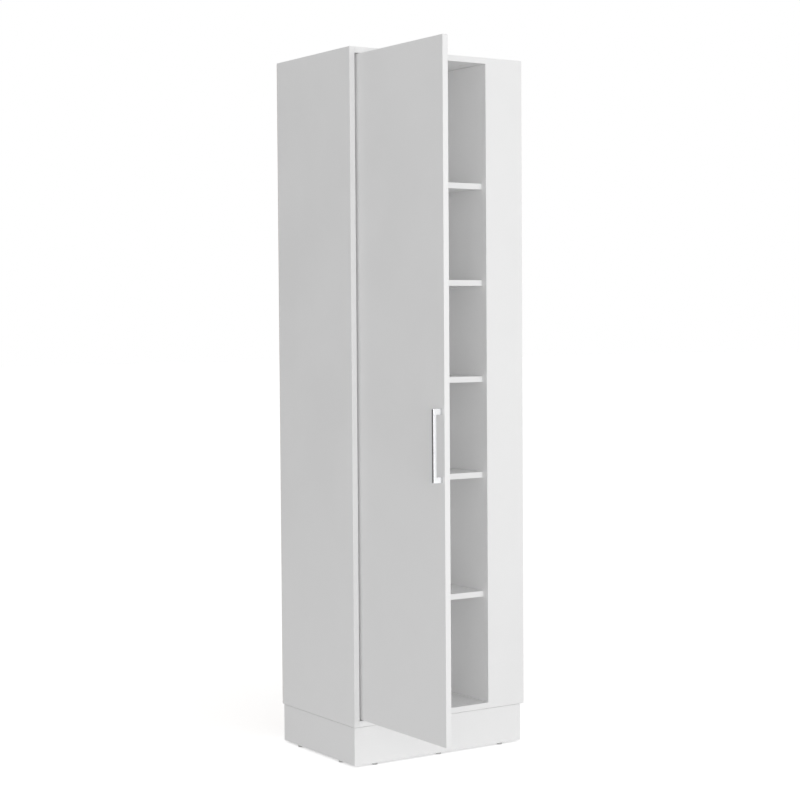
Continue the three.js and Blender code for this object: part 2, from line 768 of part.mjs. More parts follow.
function handleScrew(name, height) {
  const geometry = panScrew(
    HANDLE_SCREW_DIAMETER,
    DOOR_THICKNESS + HANDLE_SCREW_GRIP + SLACK,
    HANDLE_SCREW_HEAD_DIAMETER,
    HANDLE_SCREW_HEAD_HEIGHT,
  );
  const screw = piece(name, alongY(geometry), finishes.zincSteel);
  screw.position.set(handleMiddle, doorHalf + SLACK, height);
  return screw;
}

function door() {
  const group = new THREE.Group();
  group.add(doorPanel(), handle());
  handleScrewHeights.forEach((z, index) => group.add(handleScrew(`handle_screw_${index + 1}`, z)));
  hingeHeights.forEach((z, index) => {
    group.add(hingeCup(`hinge_cup_${index + 1}`, z), hingePin(`hinge_pin_${index + 1}`, z));
  });
  group.position.set(pivotX, pivotY, 0);
  group.rotation.z = -THREE.MathUtils.degToRad(DOOR_OPEN_ANGLE);
  return group;
}

function hingeArms() {
  const group = new THREE.Group();
  hingeHeights.forEach((z, index) => {
    group.add(hingeArm(`hinge_arm_${index + 1}`, z), hingePlate(`hinge_plate_${index + 1}`, z));
  });
  return group;
}

// The origin lies on the floor, at the middle of the room that the cupboard and its open door take up.
const handleOverhang = Math.max(0, doorHalf + HANDLE_PROJECTION - pivotX);
const middleX = (OVERALL_WIDTH - handleOverhang) / 2;
const middleY = (OVERALL_DEPTH + pivotY - doorReach) / 2;
const cupboard = new THREE.Group();
cupboard.add(carcass(), shelves(), shelfPins(), hookRail(), railScrews(), plinth(), hingeArms(), door());
cupboard.position.set(-middleX, -middleY, 0);

export default cupboard;
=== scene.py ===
"""Looks of a tall white broom cupboard, built over its fixed model, in metres with Z up."""

import json
import math

import bmesh
import bpy
from bpy.props import FloatProperty, FloatVectorProperty, IntProperty, PointerProperty
from mathutils import Matrix, Vector


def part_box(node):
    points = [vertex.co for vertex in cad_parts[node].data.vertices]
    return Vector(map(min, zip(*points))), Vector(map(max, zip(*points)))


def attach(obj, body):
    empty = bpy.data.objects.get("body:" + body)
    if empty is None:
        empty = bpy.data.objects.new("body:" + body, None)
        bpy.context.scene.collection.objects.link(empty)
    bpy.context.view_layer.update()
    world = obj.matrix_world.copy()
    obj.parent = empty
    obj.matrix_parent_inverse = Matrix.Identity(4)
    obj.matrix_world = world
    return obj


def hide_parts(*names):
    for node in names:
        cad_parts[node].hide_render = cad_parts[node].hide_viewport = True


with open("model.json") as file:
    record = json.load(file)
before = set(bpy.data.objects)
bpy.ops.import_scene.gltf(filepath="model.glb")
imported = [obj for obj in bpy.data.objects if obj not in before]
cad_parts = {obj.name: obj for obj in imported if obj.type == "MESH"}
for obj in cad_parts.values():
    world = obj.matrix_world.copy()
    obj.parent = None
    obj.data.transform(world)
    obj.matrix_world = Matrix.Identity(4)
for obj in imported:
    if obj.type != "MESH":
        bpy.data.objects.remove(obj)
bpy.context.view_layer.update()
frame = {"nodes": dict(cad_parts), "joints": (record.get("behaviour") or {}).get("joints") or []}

bl_info = {
    "name": "Broom cupboard",
    "version": (1, 0, 0),
    "blender": (4, 5, 0),
    "location": "View3D > Sidebar > Cupboard",
    "description": "Boards, fittings and finishes of a broom cupboard with an inset door",
    "category": "Add Mesh",
}

MM = 0.001


def linear(code):
    """The linear colour of an sRGB hex value."""
    shares = [int(code[start : start + 2], 16) / 255 for start in (1, 3, 5)]
    return tuple(c / 12.92 if c <= 0.04045 else ((c + 0.055) / 1.055) ** 2.4 for c in shares)


# Sizes and colours that a user may change


def length(name, description, millimetres):
    return FloatProperty(
        name=name, description=description, default=millimetres * MM, min=0, precision=5, unit="LENGTH"
    )


def colour(name, description, code):
    return FloatVectorProperty(
        name=name, description=description, default=linear(code), min=0, max=1, size=3, subtype="COLOR"
    )


class CupboardBoardSettings(bpy.types.PropertyGroup):
    door_round: length("Door edge round", "Radius of the thick edge band round the door", 0.9)
    carcass_round: length("Carcass edge round", "Radius of the thin edge band on the carcass boards", 0.35)
    cup_bore_depth: length("Cup bore depth", "Depth of the bores for the hinge cups", 12)
    cup_bore_diameter: length("Cup bore diameter", "Diameter of the bores for the hinge cups", 35)
    fit_clearance: length("Fit clearance", "Room left round each fitted piece", 0.3)
    plinth_joint: length("Plinth joint", "How far the plinth boards stop short of the carcass", 0.9)
    face_colour: colour("Board face", "White of the melamine faces", "#F7F7F7")
    band_colour: colour("Edge band", "White of the edge bands", "#F7F7F7")
    back_colour: colour("Back, inside", "White lacquer on the back panel", "#F6F6F6")


class CupboardFittingSettings(bpy.types.PropertyGroup):
    handle_round: length("Handle edge round", "Radius along the edges of the handle's bar", 0.5)
    screw_head_diameter: length("Screw head", "Diameter of the pan heads", 7.6)
    screw_head_height: length("Screw head height", "Height of the pan heads", 2.2)
    small_screw_diameter: length("Small screw head", "Diameter of the adjusting screws' heads", 5.4)
    cap_diameter: length("Connector cap", "Diameter of the caps over the cam connectors", 17)
    cap_height: length("Connector cap height", "Height of the caps over the cam connectors", 0.9)
    nail_spacing: length("Nail spacing", "Distance between the nails round the back panel", 110)
    nail_head_diameter: length("Nail head", "Diameter of the heads of the back panel's nails", 3.4)
    bumper_diameter: length("Bumper", "Diameter of the door's bumpers", 9.5)
    bumper_height: length("Bumper height", "Height of the door's bumpers", 5.2)
    turned_sides: IntProperty(
        name="Sides of turned pieces", description="Facets round each small turned piece", default=32, min=8
    )


class CupboardStageSettings(bpy.types.PropertyGroup):
    surround: FloatProperty(
        name="Surround", description="Strength of the light from all round", default=0.524, min=0
    )
    key_power: FloatProperty(
        name="Front lamp", description="Power of the lamp in front, in watts", default=114, min=0
    )
    fill_power: FloatProperty(
        name="Left lamp", description="Power of the lamp at the front left, in watts", default=128, min=0
    )
    floor_glow: FloatProperty(
        name="Floor glow", description="White added to the floor where it is seen", default=0.55, min=0
    )
    floor_colour: colour("Floor", "Colour of the floor", "#F3F3F3")
    card_colour: colour("Grey card", "Colour of the card that polished metal mirrors", "#959595")


class CupboardSettings(bpy.types.PropertyGroup):
    boards: PointerProperty(
        name="Boards", description="Sizes and colours of the boards", type=CupboardBoardSettings
    )
    fittings: PointerProperty(
        name="Fittings", description="Sizes of the fittings", type=CupboardFittingSettings
    )
    stage: PointerProperty(name="Stage", description="Lamps and floor", type=CupboardStageSettings)


# Places, all read from the model


def middle(node):
    low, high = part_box(node)
    return (low + high) / 2


joint = frame["joints"][0]
pivot = Vector((joint["pos_m"][0], joint["pos_m"][1], 0))
hinge_numbers = (1, 2, 3, 4)
hinge_heights = [middle(f"hinge_pin_{number}").z for number in hinge_numbers]

# The door's pieces are drawn closed, from the pivot, and turned open by this.
door_turn = Matrix.Translation(pivot) @ Matrix.Rotation(-math.pi / 2, 4, "Z")


# Node trees

# A wave texture of scale 1 has a wave every 0.314 m, a tenth of pi.
WAVE_LENGTH = 0.314


def feed(tree, node, values):
    """Gives each value to the node's input of that name or number. A socket is linked to it."""
    for key, value in values.items():
        if isinstance(value, bpy.types.NodeSocket):
            tree.links.new(value, node.inputs[key])
        else:
            node.inputs[key].default_value = value


def add(tree, kind, values=None, **settings):
    """Adds a node with its settings, and feeds its inputs."""
    node = tree.nodes.new(kind)
    for name, setting in settings.items():
        setattr(node, name, setting)
    feed(tree, node, values or {})
    return node


def maths(tree, operation, *values):
    return add(tree, "ShaderNodeMath", dict(enumerate(values)), operation=operation).outputs[0]


def vector(tree, **parts):
    return add(tree, "ShaderNodeCombineXYZ", parts).outputs[0]


def noise(tree, place, size, detail, **more):
    """Noise with blots of about the given size in millimetres."""
    values = {"Vector": place, "Scale": 1 / (size * MM), "Detail": detail, **more}
    return add(tree, "ShaderNodeTexNoise", values).outputs["Fac"]


def waves(tree, place, size, direction, **more):
    """Waves of the given length in millimetres."""
    values = {"Vector": place, "Scale": WAVE_LENGTH / (size * MM), **more}
    return add(tree, "ShaderNodeTexWave", values, bands_direction=direction).outputs["Fac"]


def tones(tree, share, *stops):
    """A colour ramp, its stops given as (place, linear colour)."""
    ramp = add(tree, "ShaderNodeValToRGB", {"Fac": share})
    elements = ramp.color_ramp.elements
    while len(elements) < len(stops):
        elements.new(0.5)
    for element, (place, tint) in zip(elements, stops):
        element.position = place
        element.color = (*tint, 1)
    return ramp.outputs["Color"]


def between(tree, share, low, high):
    """Spreads the middle of a noise, from 0.3 to 0.7, over the range from low to high."""
    values = {"Value": share, "From Min": 0.3, "From Max": 0.7, "To Min": low, "To Max": high}
    return add(tree, "ShaderNodeMapRange", values).outputs["Result"]


def bump(tree, height, strength, depth, below=None):
    """A bump map of the given depth in millimetres, on top of another where one is given."""
    values = {"Height": height, "Strength": strength, "Distance": depth * MM}
    if below is not None:
        values["Normal"] = below
    return add(tree, "ShaderNodeBump", values).outputs["Normal"]


# Finishes


def start_material(name):
    material = bpy.data.materials.new(name)
    material.use_nodes = True
    return material, material.node_tree


def start_finish(name):
    """The tree of a new material, and the place on the piece that its textures are laid out by."""
    tree = start_material(name)[1]
    return tree, add(tree, "ShaderNodeTexCoord").outputs["Object"]


def coat(tree, values):
    """Feeds the material's own shader."""
    feed(tree, tree.nodes["Principled BSDF"], values)


def tinted(tint, factor):
    return tuple(min(1, value * factor) for value in tint)


def melamine(name, tint):
    """Melamine paper pressed on chipboard by a pearl plate: a soft sheen over grains under a millimetre,
    with the faint unrest of the chips below, and slightly duller patches where hands and cloths have been."""
    tree, place = start_finish(name)
    # Pearls are 0.7 mm across, and the chips under the paper about 9 mm.
    pearls = noise(tree, place, 0.7, 2.0)
    chips = noise(tree, place, 9, 3.0)
    patches = noise(tree, place, 180, 4.0)
    unrest = bump(tree, chips, 0.35, 0.03)
    coat(
        tree,
        {
            "Base Color": tones(tree, patches, (0.35, tinted(tint, 0.985)), (0.65, tint)),
            "Roughness": between(tree, patches, 0.4, 0.5),
            "Normal": bump(tree, pearls, 0.3, 0.02, unrest),
            "IOR": 1.5,
        },
    )


def edge_band(name, tint):
    """ABS edge band, trimmed and buffed: glossier than the board's face, with faint ripples from the
    trimming cutter."""
    tree, place = start_finish(name)
    # The cutter leaves a ripple about every 3 mm, and buffing clouds the gloss over 25 mm.
    ripples = noise(tree, place, 3, 1.0)
    clouds = noise(tree, place, 25, 2.0)
    coat(
        tree,
        {
            "Base Color": tones(tree, clouds, (0.3, tinted(tint, 0.99)), (0.7, tint)),
            "Roughness": between(tree, clouds, 0.28, 0.38),
            "Normal": bump(tree, ripples, 0.3, 0.02),
            "IOR": 1.53,
        },
    )


def chipboard(name):
    """Sawn chipboard: pressed wood flakes of about 2.6 mm in several tans, and fine pits."""
    tree, place = start_finish(name)
    flakes = add(tree, "ShaderNodeTexVoronoi", {"Vector": place, "Scale": 1 / (2.6 * MM)}).outputs["Color"]
    pick = add(tree, "ShaderNodeSeparateColor", {"Color": flakes}).outputs["Red"]
    tans = (0.0, linear("#9C7A52")), (0.45, linear("#C4A379")), (1.0, linear("#DCC29A"))
    pits = bump(tree, noise(tree, place, 1.1, 4.0), 0.6, 0.25)
    coat(tree, {"Base Color": tones(tree, pick, *tans), "Roughness": 0.85, "Normal": pits})


def lacquered_hardboard(name, tint):
    """Hardboard with a rolled white lacquer: flatter than melamine, with a fine orange peel."""
    tree, place = start_finish(name)
    whites = (0.3, tinted(tint, 0.98)), (0.7, tint)
    clouds = noise(tree, place, 70, 3.0)
    peel = bump(tree, noise(tree, place, 1.6, 2.0), 0.4, 0.03)
    coat(tree, {"Base Color": tones(tree, clouds, *whites), "Roughness": 0.55, "Normal": peel})


def raw_hardboard(name):
    """The unlacquered side of hardboard: brown pressed fibre with the imprint of the press's wire screen."""
    tree, place = start_finish(name)
    fibres = noise(tree, place, 1.4, 6.0, Roughness=0.65, Distortion=1.2)
    clouds = noise(tree, place, 90, 5.0)
    # The screen's wires lie 2.5 mm apart, a little coarser than real ones so that they show.
    wires = [waves(tree, place, 2.5, direction, Distortion=0.3) for direction in ("X", "Z")]
    screen = bump(tree, maths(tree, "MULTIPLY", *wires), 0.5, 0.15)
    fuzz = bump(tree, fibres, 0.4, 0.1, screen)
    drift = maths(tree, "MULTIPLY_ADD", clouds, 0.3, fibres)
    browns = (0.35, linear("#7D5F41")), (0.65, linear("#957552")), (0.95, linear("#AF9068"))
    coat(tree, {"Base Color": tones(tree, drift, *browns), "Roughness": 0.8, "Normal": fuzz})


def pine(name):
    """Sawn pine: straight pale grain with darker late wood every 4 mm, and fine pores drawn out along it."""
    tree, place = start_finish(name)
    # The grain runs along the block, a little askew, as a block sawn from a batten has it.
    lie = {"Vector": place, "Rotation": (0.1, 0.35, 0.2), "Scale": (1, 1, 0.08)}
    along = add(tree, "ShaderNodeMapping", lie).outputs["Vector"]
    rings = waves(tree, along, 4, "X", Distortion=3.0, Detail=2.0)
    woods = (0.1, linear("#E3C99B")), (0.75, linear("#D8B680")), (0.95, linear("#BE9159"))
    pores = bump(tree, noise(tree, along, 0.8, 3.0), 0.5, 0.1)
    coat(tree, {"Base Color": tones(tree, rings, *woods), "Roughness": 0.7, "Normal": pores})


def metal(name, dark, light, rough, brushed_along=None, grit=0.5):
    """A plated metal. Its tone drifts between two shades, its roughness varies between two values, and its
    finest marks are grit of the given size in millimetres, drawn out along an axis where it is brushed."""
    tree, place = start_finish(name)
    stretch = [1, 1, 1]
    if brushed_along is not None:
        # Brush lines run about sixty times as long as they are wide.
        stretch[brushed_along] = 1 / 60
    drawn = add(tree, "ShaderNodeMapping", {"Vector": place, "Scale": stretch}).outputs["Vector"]
    marks = noise(tree, drawn, grit, 3.0)
    clouds = noise(tree, place, 14, 3.0)
    coat(
        tree,
        {
            "Base Color": tones(tree, clouds, (0.35, linear(dark)), (0.65, linear(light))),
            "Roughness": between(tree, marks, *rough),
            "Normal": bump(tree, marks, 0.1, 0.01),
            "Metallic": 1,
        },
    )


def moulded_plastic(name, code, rough, grain):
    """A moulded plastic: even colour, a fine eroded mould texture of the given grain in millimetres."""
    tree, place = start_finish(name)
    texture = noise(tree, place, grain, 2.0)
    coat(
        tree,
        {
            "Base Color": tones(tree, texture, (0.3, tinted(linear(code), 0.95)), (0.7, linear(code))),
            "Roughness": rough,
            "Normal": bump(tree, texture, 0.3, 0.03),
            "IOR": 1.49,
        },
    )


def finishes():
    """Every finish of the cupboard by name, made once. No finish has the name of a slot, whose own plain
    material is already there."""
    boards = bpy.context.scene.broom_cupboard.boards
    makers = {
        "pearl_melamine": lambda name: melamine(name, boards.face_colour),
        "abs_edge_band": lambda name: edge_band(name, boards.band_colour),
        "raw_chipboard": chipboard,
        "lacquered_hardboard": lambda name: lacquered_hardboard(name, boards.back_colour),
        "raw_hardboard": raw_hardboard,
        "sawn_pine": pine,
        # Satin chrome on a drawn zinc bar, brushed along its length
        "brushed_satin_chrome": lambda name: metal(name, "#E1E2E4", "#E6E7E8", (0.1, 0.15), 2, 0.25),
        # Nickel on pressed steel, a little warm, with a faint orange peel from the tumbling barrel
        "nickel_plated_steel": lambda name: metal(name, "#C1BEB8", "#C6C3BD", (0.25, 0.3), None, 0.6),
        # Bright zinc on small steel fasteners, bluish and less even than nickel
        "zinc_plated_steel": lambda name: metal(name, "#A9AFB6", "#C6C7C2", (0.28, 0.45), None, 0.35),
        # The glides' light grey is darker than their white-ish plastic: painted shade from the plinth above
        # them.
        "polyethylene_glide": lambda name: moulded_plastic(name, "#B9B9B8", 0.5, 0.5),
        "polystyrene_cap": lambda name: moulded_plastic(name, "#F1F1EE", 0.32, 0.8),
        "polyurethane_bumper": lambda name: moulded_plastic(name, "#DCDCD6", 0.2, 1.5),
    }
    for name, make in makers.items():
        if name not in bpy.data.materials:
            make(name)
    return bpy.data.materials


# Shapes


def stand_in_scene(name, mesh):
    item = bpy.data.objects.new(name, mesh)
    bpy.context.scene.collection.objects.link(item)
    return item


def baked(item):
    """The item's shape with its modifiers worked in, as a plain mesh. The item itself is taken away."""
    bpy.context.view_layer.update()
    graph = bpy.context.evaluated_depsgraph_get()
    evaluated = item.evaluated_get(graph)
    mesh = bpy.data.meshes.new_from_object(evaluated, preserve_all_data_layers=True, depsgraph=graph)
    bpy.data.objects.remove(item)
    return mesh


def mesh_from(work, name):
    """Turns a working mesh into a plain one and frees it."""
    mesh = bpy.data.meshes.new(name)
    work.to_mesh(mesh)
    work.free()
    return mesh


def finish_piece(name, mesh, body, materials=(), nodes=(), sharp=35):
    """Smooths a mesh up to a sharp angle in degrees, keeps its flats flat, and lets it ride on its body."""
    for material in materials:
        mesh.materials.append(finishes()[material])
    mesh.polygons.foreach_set("use_smooth", [True] * len(mesh.polygons))
    mesh.set_sharp_from_angle(angle=math.radians(sharp))
    rough = stand_in_scene(name + "_flats", mesh)
    flats = rough.modifiers.new("flats", "WEIGHTED_NORMAL")
    flats.keep_sharp = True
    finished = baked(rough)
    finished.name = name
    item = stand_in_scene(name, finished)
    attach(item, body)
    if nodes:
        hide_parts(*nodes)
    return item


def block(work, low, high):
    """Adds a box to a working mesh."""
    matrix = Matrix.Translation((low + high) / 2) @ Matrix.Diagonal((*(high - low), 1))
    bmesh.ops.create_cube(work, size=1, matrix=matrix)


def rod(work, start, end, diameter, sides=48):
    """Adds a round bar between two points to a working mesh."""
    start, end = Vector(start), Vector(end)
    turn = (end - start).to_track_quat("Z", "Y").to_matrix().to_4x4()
    matrix = Matrix.Translation((start + end) / 2) @ turn
    bmesh.ops.create_cone(
        work,
        cap_ends=True,
        segments=sides,
        radius1=diameter / 2,
        radius2=diameter / 2,
        depth=(end - start).length,
        matrix=matrix,
    )


def cut_away(mesh, cutters):
    """The mesh less the cutters, given as another mesh."""
    target = stand_in_scene("cut_target", mesh)
    tools = stand_in_scene("cut_tools", cutters)
    difference = target.modifiers.new("cut", "BOOLEAN")
    difference.operation = "DIFFERENCE"
    difference.solver = "EXACT"
    difference.object = tools
    result = baked(target)
    bpy.data.objects.remove(tools)
    return result


def turned_mesh(name, profile, sides=64):
    """A closed solid turned about Z from (radius, height) pairs in millimetres, which start and end on
    the axis."""
    work = bmesh.new()
    turns = [2 * math.pi * index / sides for index in range(sides)]
    rings = []
    for radius, height in profile:
        if radius == 0:
            rings.append([work.verts.new((0, 0, height * MM))])
            continue
        across, up = radius * MM, height * MM
        spots = [(across * math.cos(turn), across * math.sin(turn), up) for turn in turns]
        rings.append([work.verts.new(spot) for spot in spots])
    for lower, upper in zip(rings, rings[1:]):
        for index in range(sides):
            following = (index + 1) % sides
            corners = [lower[index % len(lower)], lower[following % len(lower)]]
            corners += [upper[following % len(upper)], upper[index % len(upper)]]
            work.faces.new(list(dict.fromkeys(corners)))
    bmesh.ops.recalc_face_normals(work, faces=work.faces)
    return mesh_from(work, name)


def arc(centre, radius, start, end, steps=10):
    """Points along an arc, with its angles in degrees."""
    turns = [math.radians(start + (end - start) * step / steps) for step in range(steps + 1)]
    return [(centre[0] + radius * math.cos(turn), centre[1] + radius * math.sin(turn)) for turn in turns]


def rounded(corners, steps=6):
    """An outline through corners of (x, y, radius), each corner rounded."""
    points = []
    for index, (x, y, radius) in enumerate(corners):
        here = Vector((x, y))
        before = Vector(corners[index - 1][:2]) - here
        after = Vector(corners[(index + 1) % len(corners)][:2]) - here
        if radius == 0:
            points.append((x, y))
            continue
        half = before.angle(after) / 2
        reach = radius / math.tan(half)
        centre = here + (before.normalized() + after.normalized()).normalized() * (radius / math.sin(half))
        entry = here + before.normalized() * reach - centre
        leave = here + after.normalized() * reach - centre
        turn = entry.angle_signed(leave)
        for step in range(steps + 1):
            spoke = entry.copy()
            spoke.rotate(Matrix.Rotation(-turn * step / steps, 2))
            points.append(tuple(centre + spoke))
    return points


def plate(name, outer, holes, bottom, top, edge_round):
    """A flat plate in X and Y, in millimetres, from a closed outline and its holes, with rounded edges."""
    curve = bpy.data.curves.new(name, "CURVE")
    curve.dimensions = "2D"
    curve.fill_mode = "BOTH"
    for loop in [outer, *holes]:
        spline = curve.splines.new("POLY")
        spline.points.add(len(loop) - 1)
        for point, (x, y) in zip(spline.points, loop):
            point.co = (x * MM, y * MM, 0, 1)
        spline.use_cyclic_u = True
    curve.extrude = ((top - bottom) / 2 - edge_round) * MM
    curve.bevel_depth = edge_round * MM
    curve.bevel_resolution = 2
    curve.offset = -edge_round * MM
    mesh = baked(stand_in_scene(name, curve))
    bpy.data.curves.remove(curve)
    work = bmesh.new()
    work.from_mesh(mesh)
    bmesh.ops.remove_doubles(work, verts=work.verts, dist=0.01 * MM)
    bmesh.ops.dissolve_degenerate(work, edges=work.edges, dist=0.01 * MM)
    bmesh.ops.translate(work, verts=work.verts, vec=(0, 0, (top + bottom) / 2 * MM))
    bmesh.ops.recalc_face_normals(work, faces=work.faces)
    work.to_mesh(mesh)
    work.free()
    mesh.materials.clear()
    return mesh


def gather(name, parts):
    """One mesh of several, each given with the matrix that puts it in place. The parts are taken away."""
    work = bmesh.new()
    for mesh, matrix in parts:
        mesh.transform(matrix)
        work.from_mesh(mesh)
        bpy.data.meshes.remove(mesh)
    return mesh_from(work, name)


# Boards

FACE, BAND, RAW = range(3)
BOARD_FINISHES = ("pearl_melamine", "abs_edge_band", "raw_chipboard")
# How much of the round is left on an arris that meets its neighbour flush
FLUSH_SHARE = 0.12
# How much of the joints above and below the blank front its pressed fit closes
PRESSED_SHARE = 0.95
# Width of the corner blocks' short sides, in millimetres
BLOCK_TOE = 6
# Nominal diameter of the bores for the handle's screws
HANDLE_BORE = 4 * MM
BACK_EDGE_ROUND = 0.3 * MM
# How far the back panel's outer face lies inside the rough solid's
NAIL_ROOM = 0.3 * MM


def side_of(face):
    """The side of a block that a face lies on, such as -y."""
    axis = max(range(3), key=lambda number: abs(face.normal[number]))
    return ("-" if face.normal[axis] < 0 else "+") + "xyz"[axis]


def board_blank(name, low, high, banded, crisp, edge_round):
    """A faced board. Its largest sides are faces, the sides named in banded carry edge band, the rest is
    raw. Arrises are rounded, but hardly round a raw side or one named in crisp, where the board meets its
    neighbour flush."""
    size = high - low
    thin = min(range(3), key=lambda axis: size[axis])
    work = bmesh.new()
    block(work, low, high)
    weight = work.edges.layers.float.new("bevel_weight_edge")
    for face in work.faces:
        side = side_of(face)
        face.material_index = FACE if side[1] == "xyz"[thin] else BAND if side in banded else RAW
    for edge in work.edges:
        flush = any(face.material_index == RAW or side_of(face) in crisp for face in edge.link_faces)
        edge[weight] = FLUSH_SHARE if flush else 1
    blank = stand_in_scene(name + "_blank", mesh_from(work, name))
    bevel = blank.modifiers.new("round", "BEVEL")
    bevel.limit_method = "WEIGHT"
    bevel.width = edge_round
    bevel.segments = 3
    bevel.material = BAND
    return baked(blank)


def build_board(node, banded, edge_round, body="cabinet", crisp=(), longer=(0, 0), cutters=None):
    """A board in its node's place. It is longer in Z by the two lengths given, at its foot and its head, to
    close a seam or, where they are below zero, to leave one."""
    low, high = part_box(node)
    low.z -= longer[0]
    high.z += longer[1]
    mesh = board_blank(node, low, high, banded, crisp, edge_round)
    if cutters is not None:
        mesh = cut_away(mesh, cutters)
    mesh.materials.clear()
    return finish_piece(node + "_faced", mesh, body, BOARD_FINISHES, [node])


class CUPBOARD_OT_carcass(bpy.types.Operator):
    """Builds the sides, top, bottom, partition and blank front, with banded edges where they show"""

    bl_idname = "cupboard.carcass"
    bl_label = "Carcass"

    def execute(self, context):
        edge_round = context.scene.broom_cupboard.boards.carcass_round
        boards = {
            "left_side_panel": (("-y", "+z"), ()),
            "top_panel": (("-y", "+x"), ("-z",)),
            "bottom_panel": (("-y", "+x"), ("+z",)),
            "partition_panel": ((), ("-y",)),
        }
        for node, (banded, crisp) in boards.items():
            build_board(node, banded, edge_round, crisp=crisp)
        # The blank front is pressed tight between the top and the bottom, so that no joint shows there.
        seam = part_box("top_panel")[0].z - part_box("blank_front_panel")[1].z
        tight = (PRESSED_SHARE * seam, PRESSED_SHARE * seam)
        build_board("blank_front_panel", ("-x", "+x"), edge_round, crisp=("-z", "+z"), longer=tight)
        return {"FINISHED"}


class CUPBOARD_OT_shelves(bpy.types.Operator):
    """Builds the five shelves. The loose ones have notches for their pins"""

    bl_idname = "cupboard.shelves"
    bl_label = "Shelves"

    def execute(self, context):
        settings = context.scene.broom_cupboard.boards
        room = settings.fit_clearance
        for number in range(1, 6):
            node = f"shelf_{number}"
            pins = [name for name in frame["nodes"] if name.startswith(node + "_pin")]
            cutters = None
            if pins:
                work = bmesh.new()
                for pin in pins:
                    low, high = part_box(pin)
                    # Deeper downwards, so that the notch opens through the shelf's lower face
                    block(work, low - Vector((room, room, 5 * room)), high + Vector((room, room, room)))
                for face in work.faces:
                    face.material_index = RAW
                cutters = mesh_from(work, node + "_notches")
            build_board(node, ("-y",), settings.carcass_round, cutters=cutters)
        return {"FINISHED"}


class CUPBOARD_OT_door(bpy.types.Operator):
    """Builds the door's board, banded all round, with the bores of its hinge cups and handle screws"""

    bl_idname = "cupboard.door"
    bl_label = "Door"

    def execute(self, context):
        settings = context.scene.broom_cupboard.boards
        low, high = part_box("door_panel")
        work = bmesh.new()
        for number in hinge_numbers:
            cup = middle(f"hinge_cup_{number}")
            floor = high.x - settings.cup_bore_depth
            rod(work, (floor, cup.y, cup.z), (high.x + MM, cup.y, cup.z), settings.cup_bore_diameter)
        for number in (1, 2):
            screw = middle(f"handle_screw_{number}")
            diameter = HANDLE_BORE + 2 * settings.fit_clearance
            rod(work, (low.x - MM, screw.y, screw.z), (high.x + MM, screw.y, screw.z), diameter, 24)
        for face in work.faces:
            face.material_index = RAW
        cutters = mesh_from(work, "door_bores")
        build_board("door_panel", ("-y", "+y", "-z", "+z"), settings.door_round, "door", cutters=cutters)
        return {"FINISHED"}


class CUPBOARD_OT_plinth(bpy.types.Operator):
    """Builds the four plinth boards and the pine blocks that hold their corners"""

    bl_idname = "cupboard.plinth"
    bl_label = "Plinth"

    def execute(self, context):
        settings = context.scene.broom_cupboard.boards
        for side, banded in (("front", ("-x", "+x")), ("back", ("-x", "+x")), ("left", ()), ("right", ())):
            # The joint shows as a fine shadow line under the carcass.
            short = (0, -settings.plinth_joint)
            build_board(f"plinth_{side}_board", banded, settings.carcass_round, longer=short)
        toe, arris = BLOCK_TOE, 0.5
        for quarter_turns, corner in enumerate(("front_left", "front_right", "back_right", "back_left")):
            node = f"corner_block_{corner}"
            low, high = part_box(node)
            leg, tall = (high.x - low.x) / MM, (high.z - low.z) / MM
            outer = [(0, 0), (leg, 0), (leg, toe), (toe, leg), (0, leg)]
            mesh = plate(node, outer, [], 0, tall, arris)
            inner = (
                high.x if corner.endswith("right") else low.x,
                high.y if corner.startswith("back") else low.y,
                low.z,
            )
            turn = Matrix.Rotation(quarter_turns * math.pi / 2, 4, "Z")
            mesh.transform(Matrix.Translation(inner) @ turn)
            finish_piece(node + "_pine", mesh, "cabinet", ["sawn_pine"], [node])
        return {"FINISHED"}


class CUPBOARD_OT_back(bpy.types.Operator):
    """Builds the hardboard back: white lacquer inside, bare screen-marked fibre behind"""

    bl_idname = "cupboard.back"
    bl_label = "Back panel"

    def execute(self, context):
        low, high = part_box("back_panel")
        # The board ends a little short of the rough solid, so that the nail heads stay inside it.
        high = high - Vector((0, NAIL_ROOM, 0))
        work = bmesh.new()
        block(work, low, high)
        bmesh.ops.bevel(
            work, geom=work.edges[:], offset=BACK_EDGE_ROUND, segments=2, profile=0.5, affect="EDGES"
        )
        for face in work.faces:
            face.material_index = 0 if face.normal.y < -0.9 else 1
        mesh = mesh_from(work, "back_panel")
        sides = ["lacquered_hardboard", "raw_hardboard"]
        finish_piece("back_panel_hardboard", mesh, "cabinet", sides, ["back_panel"])
        return {"FINISHED"}


# Turned pieces that repeat


def start_tree(name, inputs, output):
    """A new tree for shapes with its inputs' labels and kinds, and the sockets that they come in by."""
    tree = bpy.data.node_groups.new(name, "GeometryNodeTree")
    for label, kind in inputs.items():
        tree.interface.new_socket(label, in_out="INPUT", socket_type=kind)
    tree.interface.new_socket(output, in_out="OUTPUT", socket_type="NodeSocketGeometry")
    return tree, add(tree, "NodeGroupInput").outputs


def copy_out(tree, values, material):
    """Ends a tree: copies of a piece on points, made into one mesh of the material."""
    copies = add(tree, "GeometryNodeInstanceOnPoints", values).outputs[0]
    whole = add(tree, "GeometryNodeRealizeInstances", {"Geometry": copies}).outputs[0]
    coated = add(tree, "GeometryNodeSetMaterial", {"Geometry": whole, "Material": material})
    add(tree, "NodeGroupOutput", {0: coated.outputs[0]})
    return tree


